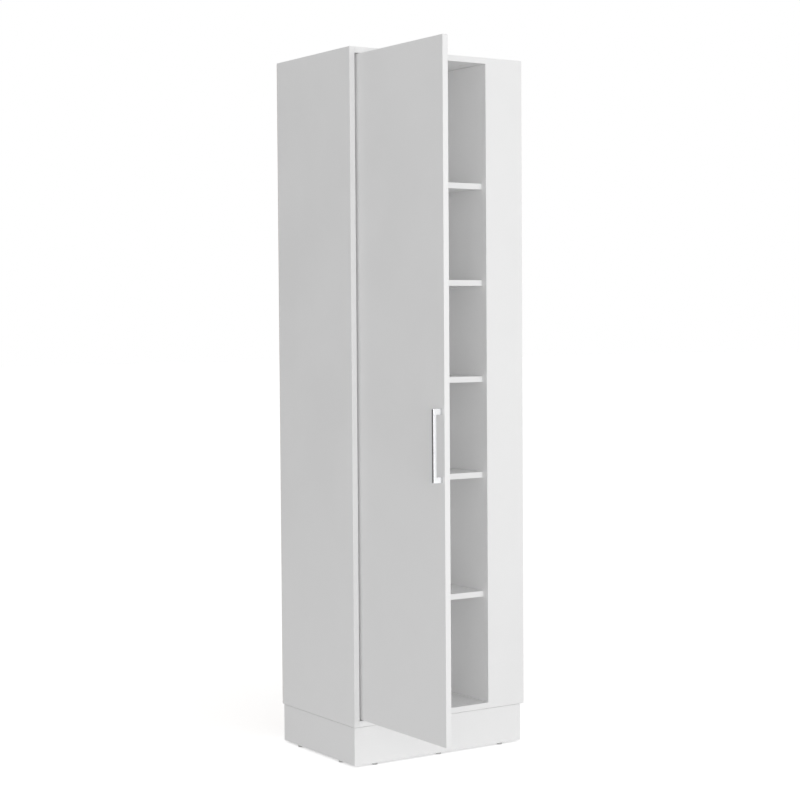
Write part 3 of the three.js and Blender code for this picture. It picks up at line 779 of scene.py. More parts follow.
def turned_tree(name, profile, along_edges=False, recess=None):
    """A node tree that stands a copy of a turned piece on every point of its geometry, or at even steps
    along its edges, looking the way that the points' direction attribute says.
    The profile is (share of the radius, share of the height) pairs from the seat to the tip. A recess is
    the share of the diameter that a cross slot is long, wide and deep."""
    inputs = {
        "Places": "NodeSocketGeometry",
        "Diameter": "NodeSocketFloat",
        "Height": "NodeSocketFloat",
        "Spacing": "NodeSocketFloat",
        "Sides": "NodeSocketInt",
        "Seed": "NodeSocketInt",
        "Material": "NodeSocketMaterial",
    }
    tree, given = start_tree(name, inputs, "Pieces")
    steps = len(profile) - 1
    blank = add(
        tree,
        "GeometryNodeMeshCylinder",
        {"Vertices": given["Sides"], "Side Segments": steps, "Radius": 1.0, "Depth": 1.0},
    ).outputs["Mesh"]
    here = add(tree, "GeometryNodeInputPosition").outputs[0]
    place = add(tree, "ShaderNodeSeparateXYZ", {0: here}).outputs
    share = maths(tree, "ADD", place["Z"], 0.5)
    columns = []
    for column in (0, 1):
        curve = add(tree, "ShaderNodeFloatCurve", {"Value": share})
        points = curve.mapping.curves[0].points
        while len(points) < len(profile):
            points.new(0.5, 0.5)
        for index, (point, pair) in enumerate(zip(points, profile)):
            point.location = (index / steps, pair[column])
            point.handle_type = "VECTOR"
        curve.mapping.update()
        columns.append(curve.outputs[0])
    radius = maths(tree, "MULTIPLY", given["Diameter"], 0.5)
    reach = maths(tree, "MULTIPLY", columns[0], radius)
    spot = vector(
        tree,
        X=maths(tree, "MULTIPLY", place["X"], reach),
        Y=maths(tree, "MULTIPLY", place["Y"], reach),
        Z=maths(tree, "MULTIPLY", columns[1], given["Height"]),
    )
    shape = add(tree, "GeometryNodeSetPosition", {"Geometry": blank, "Position": spot}).outputs[0]
    if recess:
        long, wide, deep = recess
        top = vector(tree, Z=given["Height"])
        # The exact solver, because the quick one breaks meshes as small as these.
        cutting = add(
            tree, "GeometryNodeMeshBoolean", {"Mesh 1": shape}, operation="DIFFERENCE", solver="EXACT"
        )
        for shares in ((long, wide, 2 * deep), (wide, long, 2 * deep)):
            size = add(
                tree, "ShaderNodeVectorMath", {0: shares, "Scale": given["Diameter"]}, operation="SCALE"
            )
            cube = add(tree, "GeometryNodeMeshCube", {"Size": size.outputs[0]}).outputs["Mesh"]
            slot = add(tree, "GeometryNodeTransform", {"Geometry": cube, "Translation": top})
            tree.links.new(slot.outputs[0], cutting.inputs["Mesh 2"])
        shape = cutting.outputs["Mesh"]
    places = given["Places"]
    if along_edges:
        path = add(tree, "GeometryNodeMeshToCurve", {"Mesh": places}).outputs[0]
        dotted = {"Curve": path, "Length": given["Spacing"]}
        places = add(tree, "GeometryNodeCurveToPoints", dotted, mode="LENGTH").outputs["Points"]
    facing = add(tree, "GeometryNodeInputNamedAttribute", {"Name": "direction"}, data_type="FLOAT_VECTOR")
    aligned = add(
        tree, "FunctionNodeAlignRotationToVector", {"Vector": facing.outputs["Attribute"]}, axis="Z"
    )
    chance = {"Min": (0, 0, -3.14), "Max": (0, 0, 3.14), "Seed": given["Seed"]}
    spin = add(tree, "FunctionNodeRandomValue", chance, data_type="FLOAT_VECTOR")
    turned = add(tree, "FunctionNodeEulerToRotation", {0: spin.outputs[0]})
    both = {"Rotation": aligned.outputs[0], "Rotate By": turned.outputs[0]}
    rotation = add(tree, "FunctionNodeRotateRotation", both, rotation_space="LOCAL").outputs[0]
    copies = {"Points": places, "Instance": shape, "Rotation": rotation}
    return copy_out(tree, copies, given["Material"])


def set_inputs(modifier, values):
    """Sets a node modifier's inputs by the names of its tree's sockets."""
    for item in modifier.node_group.interface.items_tree:
        if item.item_type == "SOCKET" and item.in_out == "INPUT" and item.name in values:
            modifier[item.identifier] = values[item.name]


def grow(name, tree, places, material, body, slot, nodes=(), edges=(), **sizes):
    """Stands the tree's turned piece at each (place, way), and finishes the copies as one piece."""
    mesh = bpy.data.meshes.new(name)
    mesh.from_pydata([tuple(place) for place, way in places], list(edges), [])
    direction = mesh.attributes.new("direction", "FLOAT_VECTOR", "POINT")
    direction.data.foreach_set("vector", [value for place, way in places for value in way])
    seeded = stand_in_scene(name + "_places", mesh)
    modifier = seeded.modifiers.new("turned", "NODES")
    modifier.node_group = tree
    sides = bpy.context.scene.broom_cupboard.fittings.turned_sides
    inputs = {"Sides": sides, "Seed": TURN_SEED, "Material": finishes()[material]}
    set_inputs(modifier, {**inputs, **sizes})
    grown = baked(seeded)
    left_over = grown.attributes.get("direction")
    if left_over:
        grown.attributes.remove(left_over)
    return finish_piece(name, grown, body, (), nodes)


# Seed of the chance turns about each piece's own axis
TURN_SEED = 7

# Profiles from the seat to the tip, as shares of the radius and the height
PAN_HEAD = ((0.5, 0), (0.9, 0), (1, 0.08), (1, 0.35), (0.93, 0.62), (0.76, 0.84), (0.5, 0.96), (0.2, 1))
FLAT_HEAD = ((0.5, 0), (0.95, 0), (1, 0.2), (1, 0.55), (0.94, 0.8), (0.8, 0.94), (0.5, 1), (0.2, 1))
CAP = ((0.9, 0), (1, 0.1), (1, 0.5), (0.97, 0.8), (0.9, 0.95), (0.7, 1), (0.3, 1))
DOME = ((0.85, 0), (0.98, 0.02), (1, 0.12), (0.98, 0.45), (0.9, 0.72), (0.72, 0.9), (0.45, 0.98), (0.15, 1))
GLIDE = ((0.8, 0), (0.9, 0.03), (0.97, 0.15), (1, 0.35), (1, 0.85), (0.98, 0.95), (0.9, 1), (0.3, 1))
SHELF_PIN = (
    (0.45, 0),
    (0.68, 0.03),
    (0.71, 0.06),
    (0.71, 0.5),
    (0.98, 0.51),
    (1, 0.53),
    (1, 0.95),
    (0.96, 0.98),
    (0.85, 1),
)
# Length, width and depth of a screw's cross slot, as shares of the head's diameter
CROSS = (0.5, 0.12, 0.13)


class CUPBOARD_OT_glides(bpy.types.Operator):
    """Puts a nailed plastic glide under the plinth at each of its ten places"""

    bl_idname = "cupboard.glides"
    bl_label = "Glides"

    def execute(self, context):
        nodes = sorted(name for name in frame["nodes"] if name.startswith("glide_"))
        places = [((middle(node).x, middle(node).y, 0), (0, 0, 1)) for node in nodes]
        low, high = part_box(nodes[0])
        plinth_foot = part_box("plinth_front_board")[0].z
        grow(
            "glides",
            turned_tree("glide", GLIDE),
            places,
            "polyethylene_glide",
            "cabinet",
            "glide_plastic",
            nodes,
            Diameter=high.x - low.x,
            Height=plinth_foot,
        )
        return {"FINISHED"}


class CUPBOARD_OT_shelf_pins(bpy.types.Operator):
    """Puts the steel pins under the loose shelves"""

    bl_idname = "cupboard.shelf_pins"
    bl_label = "Shelf pins"

    def execute(self, context):
        nodes = sorted(name for name in frame["nodes"] if "_pin_left_" in name or "_pin_right_" in name)
        places = []
        for node in nodes:
            low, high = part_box(node)
            spot = (low + high) / 2
            from_left = "_left_" in node
            seat = low.x if from_left else high.x
            places.append(((seat, spot.y, spot.z), (1 if from_left else -1, 0, 0)))
        low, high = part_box(nodes[0])
        grow(
            "shelf_pins",
            turned_tree("shelf_pin", SHELF_PIN),
            places,
            "zinc_plated_steel",
            "cabinet",
            "zinc_steel",
            nodes,
            Diameter=high.z - low.z,
            Height=high.x - low.x,
        )
        return {"FINISHED"}


# Hinges. They are drawn in millimetres from the pivot with the door closed: X along the door, Y to the back.

# The cup. Its heights run from the door's mid thickness towards its inner face.
CUP_CENTRE = 10.5
CUP_RADIUS = 17.2
CUP_FLOOR = -4.2
FLANGE_TOP = 9.3
FLANGE_THICK = 1.5
POCKET_HALF = (15, 6)
WING_HALF = 7
WING_TIP = 31
WING_ROUND = 5
WING_SCREW = 24
# The arm, whose strip is 2 mm thick
ARM_STRIP = 2
ARM_HALF_TALL = 5
ARM_LEFT = -9.5
ARM_RIGHT = -1
ARM_FRONT = 16
ARM_BACK = 66
NECK_RIGHT = 14.8
EYE_RADIUS = 2.75
EYE_HOLE_RADIUS = 1.45
CHEEK_THICK = 0.7
# The mounting plate
PLATE_LEFT = -12.8
PLATE_MIDDLE = 41
PLATE_THICK = 3
PLATE_SCREW = 16
# Clear holes of the screws, and the pin
SCREW_HOLE_RADIUS = 2.1
PIN_RADIUS = 1.25
PIN_HALF_LONG = 9


def screw_hole(centre, radius=SCREW_HOLE_RADIUS):
    """The outline of a round hole in a plate."""
    return arc(centre, radius, 0, 345, 23)


def cup_mesh():
    """The cup with its winged flange. Its axis is Z here, with the door's inner face at height 7.5."""
    low, seat, top = CUP_FLOOR, FLANGE_TOP - FLANGE_THICK, FLANGE_TOP
    radius = CUP_RADIUS
    body = turned_mesh(
        "cup",
        [
            (0, low),
            (radius - 1.2, low),
            (radius - 0.4, low + 0.3),
            (radius, low + 1),
            (radius, seat),
            (radius + 1.2, seat),
            (radius + 1.2, top - 0.6),
            (radius + 0.9, top - 0.2),
            (radius + 0.2, top),
            (radius - 0.8, top - 0.1),
            (radius - 1.3, top - 0.5),
            (radius - 1.5, top - 1.2),
            (0, top - 1.2),
        ],
    )
    long, wide = POCKET_HALF
    opening = rounded([(-long, -wide, 2), (long, -wide, 2), (long, wide, 2), (-long, wide, 2)])
    body = cut_away(body, plate("pocket", opening, [], low + 1, top + 1, 0))
    # The flange is a ring a little wider than the cup's rim, with a wing above and one below.
    rim = radius + 1.4
    swing = math.degrees(math.asin(WING_HALF / rim))
    side, end = WING_HALF - WING_ROUND, WING_TIP - WING_ROUND
    outer = (
        arc((0, 0), rim, -90 + swing, 90 - swing, 16)
        + arc((side, end), WING_ROUND, 0, 90, 6)
        + arc((-side, end), WING_ROUND, 90, 180, 6)
        + arc((0, 0), rim, 90 + swing, 270 - swing, 16)
        + arc((-side, -end), WING_ROUND, 180, 270, 6)
        + arc((side, -end), WING_ROUND, 270, 360, 6)
    )
    holes = [arc((0, 0), radius - 0.7, 0, 360 - 9, 39)]
    holes += [screw_hole((0, way * WING_SCREW)) for way in (-1, 1)]
    wings = plate("wings", outer, holes, seat, top, 0.35)
    return gather("hinge_cup", [(body, Matrix.Identity(4)), (wings, Matrix.Identity(4))])


def arm_mesh():
    """The arm: its eye on the pin, the neck round the door's end, and the body along the side panel."""
    half, tall = ARM_STRIP / 2, ARM_HALF_TALL
    outer = rounded(
        [
            (0, -half, 0),
            (NECK_RIGHT, -half, 2.6),
            (NECK_RIGHT, ARM_FRONT + ARM_STRIP, 2.6),
            (ARM_RIGHT, ARM_FRONT + ARM_STRIP, 1.5),
            (ARM_RIGHT, ARM_BACK - 4, 3),
            (ARM_RIGHT - 4, ARM_BACK, 2),
            (ARM_LEFT, ARM_BACK, 1),
            (ARM_LEFT, ARM_FRONT, 1.2),
            (NECK_RIGHT - ARM_STRIP, ARM_FRONT, 1),
            (NECK_RIGHT - ARM_STRIP, half, 1),
            (0, half, 0),
        ]
    )
    bar = plate("arm_bar", outer, [], -tall, tall, 0.5)
    ring = arc((0, 0), EYE_RADIUS, 0, 350, 35)
    eye = plate("arm_eye", ring, [screw_hole((0, 0), EYE_HOLE_RADIUS)], -tall, tall, 0.3)
    cheeks = []
    for side in (-1, 1):
        low, high = sorted((side * tall, side * (tall + CHEEK_THICK)))
        cheek = rounded(
            [
                (ARM_LEFT + 0.4, ARM_FRONT + 3, 1),
                (ARM_RIGHT - 2, ARM_FRONT + 3, 2.5),
                (ARM_RIGHT - 1, ARM_BACK - 9, 2.5),
                (ARM_LEFT + 0.4, ARM_BACK - 3, 2),
            ]
        )
        cheeks.append((plate("arm_cheek", cheek, [], low, high, 0.25), Matrix.Identity(4)))
    return gather("hinge_arm", [(bar, Matrix.Identity(4)), (eye, Matrix.Identity(4)), *cheeks])


def mounting_plate_mesh():
    """The cross-shaped plate, drawn flat with X along the cupboard's depth and its wings tapering."""
    spine, wing, wide, reach, taper = 9, 7, 25, 24, 0.4
    outer = rounded(
        [
            (wide, taper - spine, 4),
            (wide, spine - taper, 4),
            (wing, spine, 1.5),
            (wing - taper, reach, 4),
            (taper - wing, reach, 4),
            (-wing, spine, 1.5),
            (-wide, spine - taper, 4),
            (-wide, taper - spine, 4),
            (-wing, -spine, 1.5),
            (taper - wing, -reach, 4),
            (wing - taper, -reach, 4),
            (wing, -spine, 1.5),
        ]
    )
    holes = [screw_hole((0, way * PLATE_SCREW)) for way in (-1, 1)]
    return plate("mounting_plate", outer, holes, 0, PLATE_THICK, 0.5)


class CUPBOARD_OT_hinges(bpy.types.Operator):
    """Builds the four concealed hinges: cups and pins on the door, arms and plates on the side panel"""

    bl_idname = "cupboard.hinges"
    bl_label = "Hinges"

    def execute(self, context):
        # Z of a drawing becomes the cupboard's Y in a cup, and its X in a mounting plate.
        cup_stand = Matrix.Rotation(-math.pi / 2, 4, "X")
        plate_stand = Matrix(((0, 0, 1, 0), (1, 0, 0, 0), (0, 1, 0, 0), (0, 0, 0, 1)))
        tip, half = PIN_RADIUS - 0.15, PIN_HALF_LONG
        rivet = [(0, -half), (tip, -half), (PIN_RADIUS, 0.2 - half), (PIN_RADIUS, half - 0.2)]
        rivet += [(tip, half), (0, half)]
        cups, pins, arms, plates = [], [], [], []
        for height in hinge_heights:
            lift = Matrix.Translation((0, 0, height))
            centre = Matrix.Translation((CUP_CENTRE * MM, 0, 0))
            cups.append((cup_mesh(), door_turn @ lift @ centre @ cup_stand))
            pins.append((turned_mesh("hinge_pin", rivet, 24), door_turn @ lift))
            stay = Matrix.Translation(pivot) @ lift
            arms.append((arm_mesh(), stay))
            seat = Matrix.Translation((PLATE_LEFT * MM, PLATE_MIDDLE * MM, 0))
            plates.append((mounting_plate_mesh(), stay @ seat @ plate_stand))
        for name, parts, body, slot, finish in (
            ("hinge_cup", cups, "door", "nickel_steel", "nickel_plated_steel"),
            ("hinge_pin", pins, "door", "zinc_steel", "zinc_plated_steel"),
            ("hinge_arm", arms, "cabinet", "nickel_steel", "nickel_plated_steel"),
            ("hinge_plate", plates, "cabinet", "nickel_steel", "nickel_plated_steel"),
        ):
            nodes = [f"{name}_{number}" for number in hinge_numbers]
            mesh = gather(name + "s", parts)
            finish_piece(name + "s", mesh, body, [finish], nodes, sharp=40)
        return {"FINISHED"}


# Handle


class CUPBOARD_OT_handle(bpy.types.Operator):
    """Builds the handle: a square bar on two posts, satin chromed"""

    bl_idname = "cupboard.handle"
    bl_label = "Handle"

    def execute(self, context):
        low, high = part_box("handle")
        edge_round = context.scene.broom_cupboard.fittings.handle_round / MM
        wide, tall = (high.x - low.x) / MM, (high.z - low.z) / MM
        # The bar is square, and each post is 14 mm along it.
        bar, post = (high.y - low.y) / MM, 14
        outer_round, inner_round = 1.2, 1
        # Drawn with X out from the door and Y up, then stood at the handle's foot with its X turned to -X.
        outer = rounded(
            [
                (0, 0, 0),
                (wide, 0, outer_round),
                (wide, tall, outer_round),
                (0, tall, 0),
                (0, tall - post, 0),
                (wide - bar, tall - post, inner_round),
                (wide - bar, post, inner_round),
                (0, post, 0),
            ]
        )
        mesh = plate("handle_bar", outer, [], 0, bar, edge_round)
        stand = Matrix(((-1, 0, 0, high.x), (0, 0, 1, low.y), (0, 1, 0, low.z), (0, 0, 0, 1)))
        mesh.transform(stand)
        finish = ["brushed_satin_chrome"]
        finish_piece("bar_handle", mesh, "door", finish, ["handle"], sharp=50)
        return {"FINISHED"}


# Broom hooks, in millimetres

HOOK_COUNT = 3
HOOK_SPACING = 88
HOOK_RISE = 22
HOOK_WIDE = 12
HOOK_THICK = 3
HOOK_BEND = 4
HOOK_EDGE_ROUND = 0.6
RAIL_TALL = 30
RAIL_THICK = 2.5
RAIL_HOLE_RADIUS = 2.3


def hooks_tree():
    """A node tree that bends a flat strip into a hook and repeats it along Y at even spacing."""
    inputs = {
        "Count": "NodeSocketInt",
        "Spacing": "NodeSocketFloat",
        "Reach": "NodeSocketFloat",
        "Rise": "NodeSocketFloat",
        "Width": "NodeSocketFloat",
        "Thickness": "NodeSocketFloat",
        "Bend Radius": "NodeSocketFloat",
        "Start": "NodeSocketVector",
        "Material": "NodeSocketMaterial",
    }
    tree, given = start_tree("hooks", inputs, "Hooks")
    foot = vector(tree, X=given["Reach"])
    tip = vector(tree, X=given["Reach"], Z=given["Rise"])
    floor = add(tree, "GeometryNodeCurvePrimitiveLine", {"End": foot})
    upright = add(tree, "GeometryNodeCurvePrimitiveLine", {"Start": foot, "End": tip})
    lines = add(tree, "GeometryNodeJoinGeometry")
    for line in (upright, floor):
        tree.links.new(line.outputs[0], lines.inputs[0])
    wire = add(tree, "GeometryNodeCurveToMesh", {"Curve": lines.outputs[0]}).outputs[0]
    welded = add(tree, "GeometryNodeMergeByDistance", {"Geometry": wire}).outputs[0]
    path = add(tree, "GeometryNodeMeshToCurve", {"Mesh": welded}).outputs[0]
    bend = {"Curve": path, "Count": 6, "Radius": given["Bend Radius"], "Limit Radius": True}
    bent = add(tree, "GeometryNodeFilletCurve", bend, mode="POLY").outputs[0]
    sides = {"Width": given["Thickness"], "Height": given["Width"]}
    section = add(tree, "GeometryNodeCurvePrimitiveQuadrilateral", sides).outputs[0]
    arris = {"Curve": section, "Count": 3, "Radius": HOOK_EDGE_ROUND * MM, "Limit Radius": True}
    eased = add(tree, "GeometryNodeFilletCurve", arris, mode="POLY").outputs[0]
    strip = add(
        tree, "GeometryNodeCurveToMesh", {"Curve": bent, "Profile Curve": eased, "Fill Caps": True}
    ).outputs[0]
    step = vector(tree, Y=given["Spacing"])
    row = add(
        tree,
        "GeometryNodeMeshLine",
        {"Count": given["Count"], "Start Location": given["Start"], "Offset": step},
    ).outputs[0]
    return copy_out(tree, {"Points": row, "Instance": strip}, given["Material"])


class CUPBOARD_OT_hook_rail(bpy.types.Operator):
    """Builds the rail of broom hooks in the bay"""

    bl_idname = "cupboard.hook_rail"
    bl_label = "Broom hooks"

    def execute(self, context):
        low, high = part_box("broom_hook_rail")
        screws = [middle(f"hook_rail_screw_{number}") for number in (1, 2)]
        centre = (low.y + high.y) / 2
        half, side = (high.y - low.y) / MM / 2, RAIL_TALL / 2
        outer = rounded([(-half, -side, 3), (half, -side, 3), (half, side, 3), (-half, side, 3)])
        holes = [screw_hole(((screw.y - centre) / MM, 0), RAIL_HOLE_RADIUS) for screw in screws]
        strip = plate("rail_strip", outer, holes, 0, RAIL_THICK, 0.5)
        # The strip's X runs along the cupboard's depth, its Y up and its thickness out from the partition.
        stand = Matrix(((0, 0, 1, low.x), (1, 0, 0, centre), (0, 1, 0, screws[0].z), (0, 0, 0, 1)))
        strip.transform(stand)
        nodes = ["broom_hook_rail"]
        finish = ["nickel_plated_steel"]
        finish_piece("hook_rail_strip", strip, "cabinet", finish, nodes)

        seeded = stand_in_scene("hook_places", bpy.data.meshes.new("hook_places"))
        modifier = seeded.modifiers.new("hooks", "NODES")
        modifier.node_group = hooks_tree()
        # A hair inside the rough solid all round. The path runs in the middle of the strip's thickness.
        hair = 0.1
        first = centre - (HOOK_COUNT - 1) / 2 * HOOK_SPACING * MM
        set_inputs(
            modifier,
            {
                "Count": HOOK_COUNT,
                "Spacing": HOOK_SPACING * MM,
                "Reach": high.x - low.x - (HOOK_THICK / 2 + hair) * MM,
                "Rise": (HOOK_RISE - HOOK_THICK / 2) * MM,
                "Width": HOOK_WIDE * MM,
                "Thickness": (HOOK_THICK - hair) * MM,
                "Bend Radius": HOOK_BEND * MM,
                "Start": (low.x + hair * MM, first, low.z + HOOK_THICK / 2 * MM),
                "Material": finishes()[finish[0]],
            },
        )
        finish_piece("broom_hooks", baked(seeded), "cabinet", (), nodes)
        return {"FINISHED"}


# Fasteners, in millimetres

# How deep the heads sit in what they hold, so that no gap shows under them
SUNK_IN_FLANGE = 0.4
SUNK_IN_PLATE = 0.3
SUNK_IN_ARM = 0.5
SUNK_IN_BLOCK = 0.2
# The handle's screws stand this far off the door, so that no two faces share a plane.
OFF_DOOR = 0.02
# Places of the adjusting screws behind the arm's front, and their height
ADJUSTERS = (14, 36)
ADJUSTER_TALL = 1.1
# Half the distance between the two screws of a corner block
BLOCK_SCREW = 15
NAIL_INSET = 6.5
NAIL_TALL = 0.35


class CUPBOARD_OT_fasteners(bpy.types.Operator):
    """Adds the screws of the hinges, handle, rail and plinth blocks, and the nails round the back panel"""

    bl_idname = "cupboard.fasteners"
    bl_label = "Screws and nails"

    def execute(self, context):
        sizes = context.scene.broom_cupboard.fittings
        pan = turned_tree("pan_head", PAN_HEAD, recess=CROSS)
        flat = turned_tree("flat_head", FLAT_HEAD, recess=CROSS)
        zinc = "zinc_plated_steel"
        pan_size = {"Diameter": sizes.screw_head_diameter, "Height": sizes.screw_head_height}

        # Screws of the hinge cups and of the handle, on the door's inner face
        flange = pivot.x + (FLANGE_TOP - SUNK_IN_FLANGE) * MM
        cup_y = pivot.y - CUP_CENTRE * MM
        cup_screws = [
            ((flange, cup_y, height + side * WING_SCREW * MM), (1, 0, 0))
            for height in hinge_heights
            for side in (-1, 1)
        ]
        # Flat heads are a little narrower and lower than pan heads.
        grow(
            "hinge_cup_screws",
            flat,
            cup_screws,
            zinc,
            "door",
            "zinc_steel",
            Diameter=sizes.screw_head_diameter * 0.9,
            Height=sizes.screw_head_height * 0.6,
        )
        handle_nodes = ["handle_screw_1", "handle_screw_2"]
        inner_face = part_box("door_panel")[1].x + OFF_DOOR * MM
        handle_screws = [((inner_face, middle(node).y, middle(node).z), (1, 0, 0)) for node in handle_nodes]
        grow("handle_screws", pan, handle_screws, zinc, "door", "zinc_steel", handle_nodes, **pan_size)

        # Screws of the mounting plates, and the two adjusting screws in each arm
        plate_top = pivot.x + (PLATE_LEFT + PLATE_THICK - SUNK_IN_PLATE) * MM
        plate_y = pivot.y + PLATE_MIDDLE * MM
        plate_screws = [
            ((plate_top, plate_y, height + side * PLATE_SCREW * MM), (1, 0, 0))
            for height in hinge_heights
            for side in (-1, 1)
        ]
        grow("hinge_plate_screws", pan, plate_screws, zinc, "cabinet", "zinc_steel", **pan_size)
        arm_face = pivot.x + (ARM_RIGHT - SUNK_IN_ARM) * MM
        arm_screws = [
            ((arm_face, pivot.y + (ARM_FRONT + along) * MM, height), (1, 0, 0))
            for height in hinge_heights
            for along in ADJUSTERS
        ]
        grow(
            "hinge_adjusting_screws",
            flat,
            arm_screws,
            zinc,
            "cabinet",
            "zinc_steel",
            Diameter=sizes.small_screw_diameter,
            Height=ADJUSTER_TALL * MM,
        )

        # Screws of the hook rail, and of the blocks inside the plinth
        rail_nodes = ["hook_rail_screw_1", "hook_rail_screw_2"]
        rail_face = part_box("broom_hook_rail")[0].x + RAIL_THICK * MM
        rail_screws = [((rail_face, middle(node).y, middle(node).z), (1, 0, 0)) for node in rail_nodes]
        grow("hook_rail_screws", pan, rail_screws, zinc, "cabinet", "zinc_steel", rail_nodes, **pan_size)
        block_screws = []
        for corner, inwards in {
            "front_left": (1, 1, 0),
            "front_right": (-1, 1, 0),
            "back_right": (-1, -1, 0),
            "back_left": (1, -1, 0),
        }.items():
            way = Vector(inwards).normalized()
            # The block's slanted face lies half a toe's diagonal in from its middle.
            seat = middle(f"corner_block_{corner}") + way * (BLOCK_TOE / math.sqrt(2) - SUNK_IN_BLOCK) * MM
            for up in (-BLOCK_SCREW, BLOCK_SCREW):
                block_screws.append((seat + Vector((0, 0, up * MM)), way))
        grow("plinth_block_screws", pan, block_screws, zinc, "cabinet", "zinc_steel", **pan_size)

        # Nails round the back panel, into the edges of the boards behind it
        low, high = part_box("back_panel")
        inset, head = NAIL_INSET * MM, NAIL_TALL * MM
        face = high.y - head
        left, right, foot, crown = low.x + inset, high.x - inset, low.z + inset, high.z - inset
        partition = middle("partition_panel").x
        corners = [(left, face, foot), (right, face, foot), (right, face, crown), (left, face, crown)]
        corners += [(partition, face, foot), (partition, face, crown)]
        grow(
            "back_panel_nails",
            turned_tree("nail_head", CAP, along_edges=True),
            [(corner, (0, 1, 0)) for corner in corners],
            zinc,
            "cabinet",
            "zinc_steel",
            edges=[(0, 1), (1, 2), (2, 3), (3, 0), (4, 5)],
            Diameter=sizes.nail_head_diameter,
            Height=head,
            Spacing=sizes.nail_spacing,
        )
        return {"FINISHED"}


class CUPBOARD_OT_connector_caps(bpy.types.Operator):
    """Adds the plastic caps over the cam connectors, and the bumpers that the door closes on"""

    bl_idname = "cupboard.connector_caps"
    bl_label = "Connector caps and bumpers"

    def execute(self, context):
        sizes = context.scene.broom_cupboard.fittings
        from_end, from_edge = 34 * MM, 55 * MM
        caps = []
        for node in ("shelf_1", "shelf_3", "shelf_5"):
            low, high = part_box(node)
            for x in (low.x + from_end, high.x - from_end):
                for y in (low.y + from_edge, high.y - from_edge):
                    caps.append(((x, y, low.z), (0, 0, -1)))
        low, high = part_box("top_panel")
        wall_low, wall_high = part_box("partition_panel")
        for x in (low.x + from_end, wall_low.x - from_end):
            for y in (low.y + from_edge, high.y - from_edge):
                caps.append(((x, y, low.z), (0, 0, -1)))
        for y in (wall_low.y + from_edge, wall_high.y - from_edge):
            for z in (wall_low.z + from_end, wall_high.z - from_end):
                caps.append(((wall_high.x, y, z), (1, 0, 0)))
        grow(
            "connector_caps",
            turned_tree("connector_cap", CAP),
            caps,
            "polystyrene_cap",
            "cabinet",
            "glide_plastic",
            Diameter=sizes.cap_diameter,
            Height=sizes.cap_height,
        )

        low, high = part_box("door_panel")
        from_free_edge = 30 * MM
        y = low.y + from_free_edge
        bumpers = [((high.x, y, middle(shelf).z), (1, 0, 0)) for shelf in ("shelf_1", "shelf_5")]
        grow(
            "door_bumpers",
            turned_tree("bumper", DOME),
            bumpers,
            "polyurethane_bumper",
            "door",
            "glide_plastic",
            Diameter=sizes.bumper_diameter,
            Height=sizes.bumper_height,
        )
        return {"FINISHED"}


# Stage, in metres and degrees

CAMERA_PLACE = (-2.67385, -3.8993, 1.1249)
CAMERA_HEADING, CAMERA_TILT, CAMERA_ROLL = 33.19, -2.499, -0.385
CAMERA_LENS = 83.05
CAMERA_SENSOR = 36
# What the lamps and the card look at
STAGE_CENTRE = (0, 0, 0.9)
# Place, width and height of each lamp
FRONT_LAMP = ((1.5, -7.75, 1.2), 4.4, 2.4)
LEFT_LAMP = ((-3.6, -7.35, 1.1), 5.0, 2.0)
CARD_PLACE = (-3.0, 3.6, 1.2)
CARD_HALF_WIDTH = 1.8
CARD_HALF_HEIGHT = 1.6
FLOOR_REACH = 40


def sheet(name, half_width, half_height):
    """A flat rectangle in X and Y round the origin."""
    mesh = bpy.data.meshes.new(name)
    corners = [(x * half_width, y * half_height, 0) for x, y in ((-1, -1), (1, -1), (1, 1), (-1, 1))]
    mesh.from_pydata(corners, [], [(0, 1, 2, 3)])
    return mesh


def aimed(place, centre, forward):
    """The matrix that stands a thing at a place and turns its forward axis to the centre."""
    turn = (Vector(centre) - Vector(place)).to_track_quat(forward, "Y")
    return Matrix.Translation(place) @ turn.to_matrix().to_4x4()


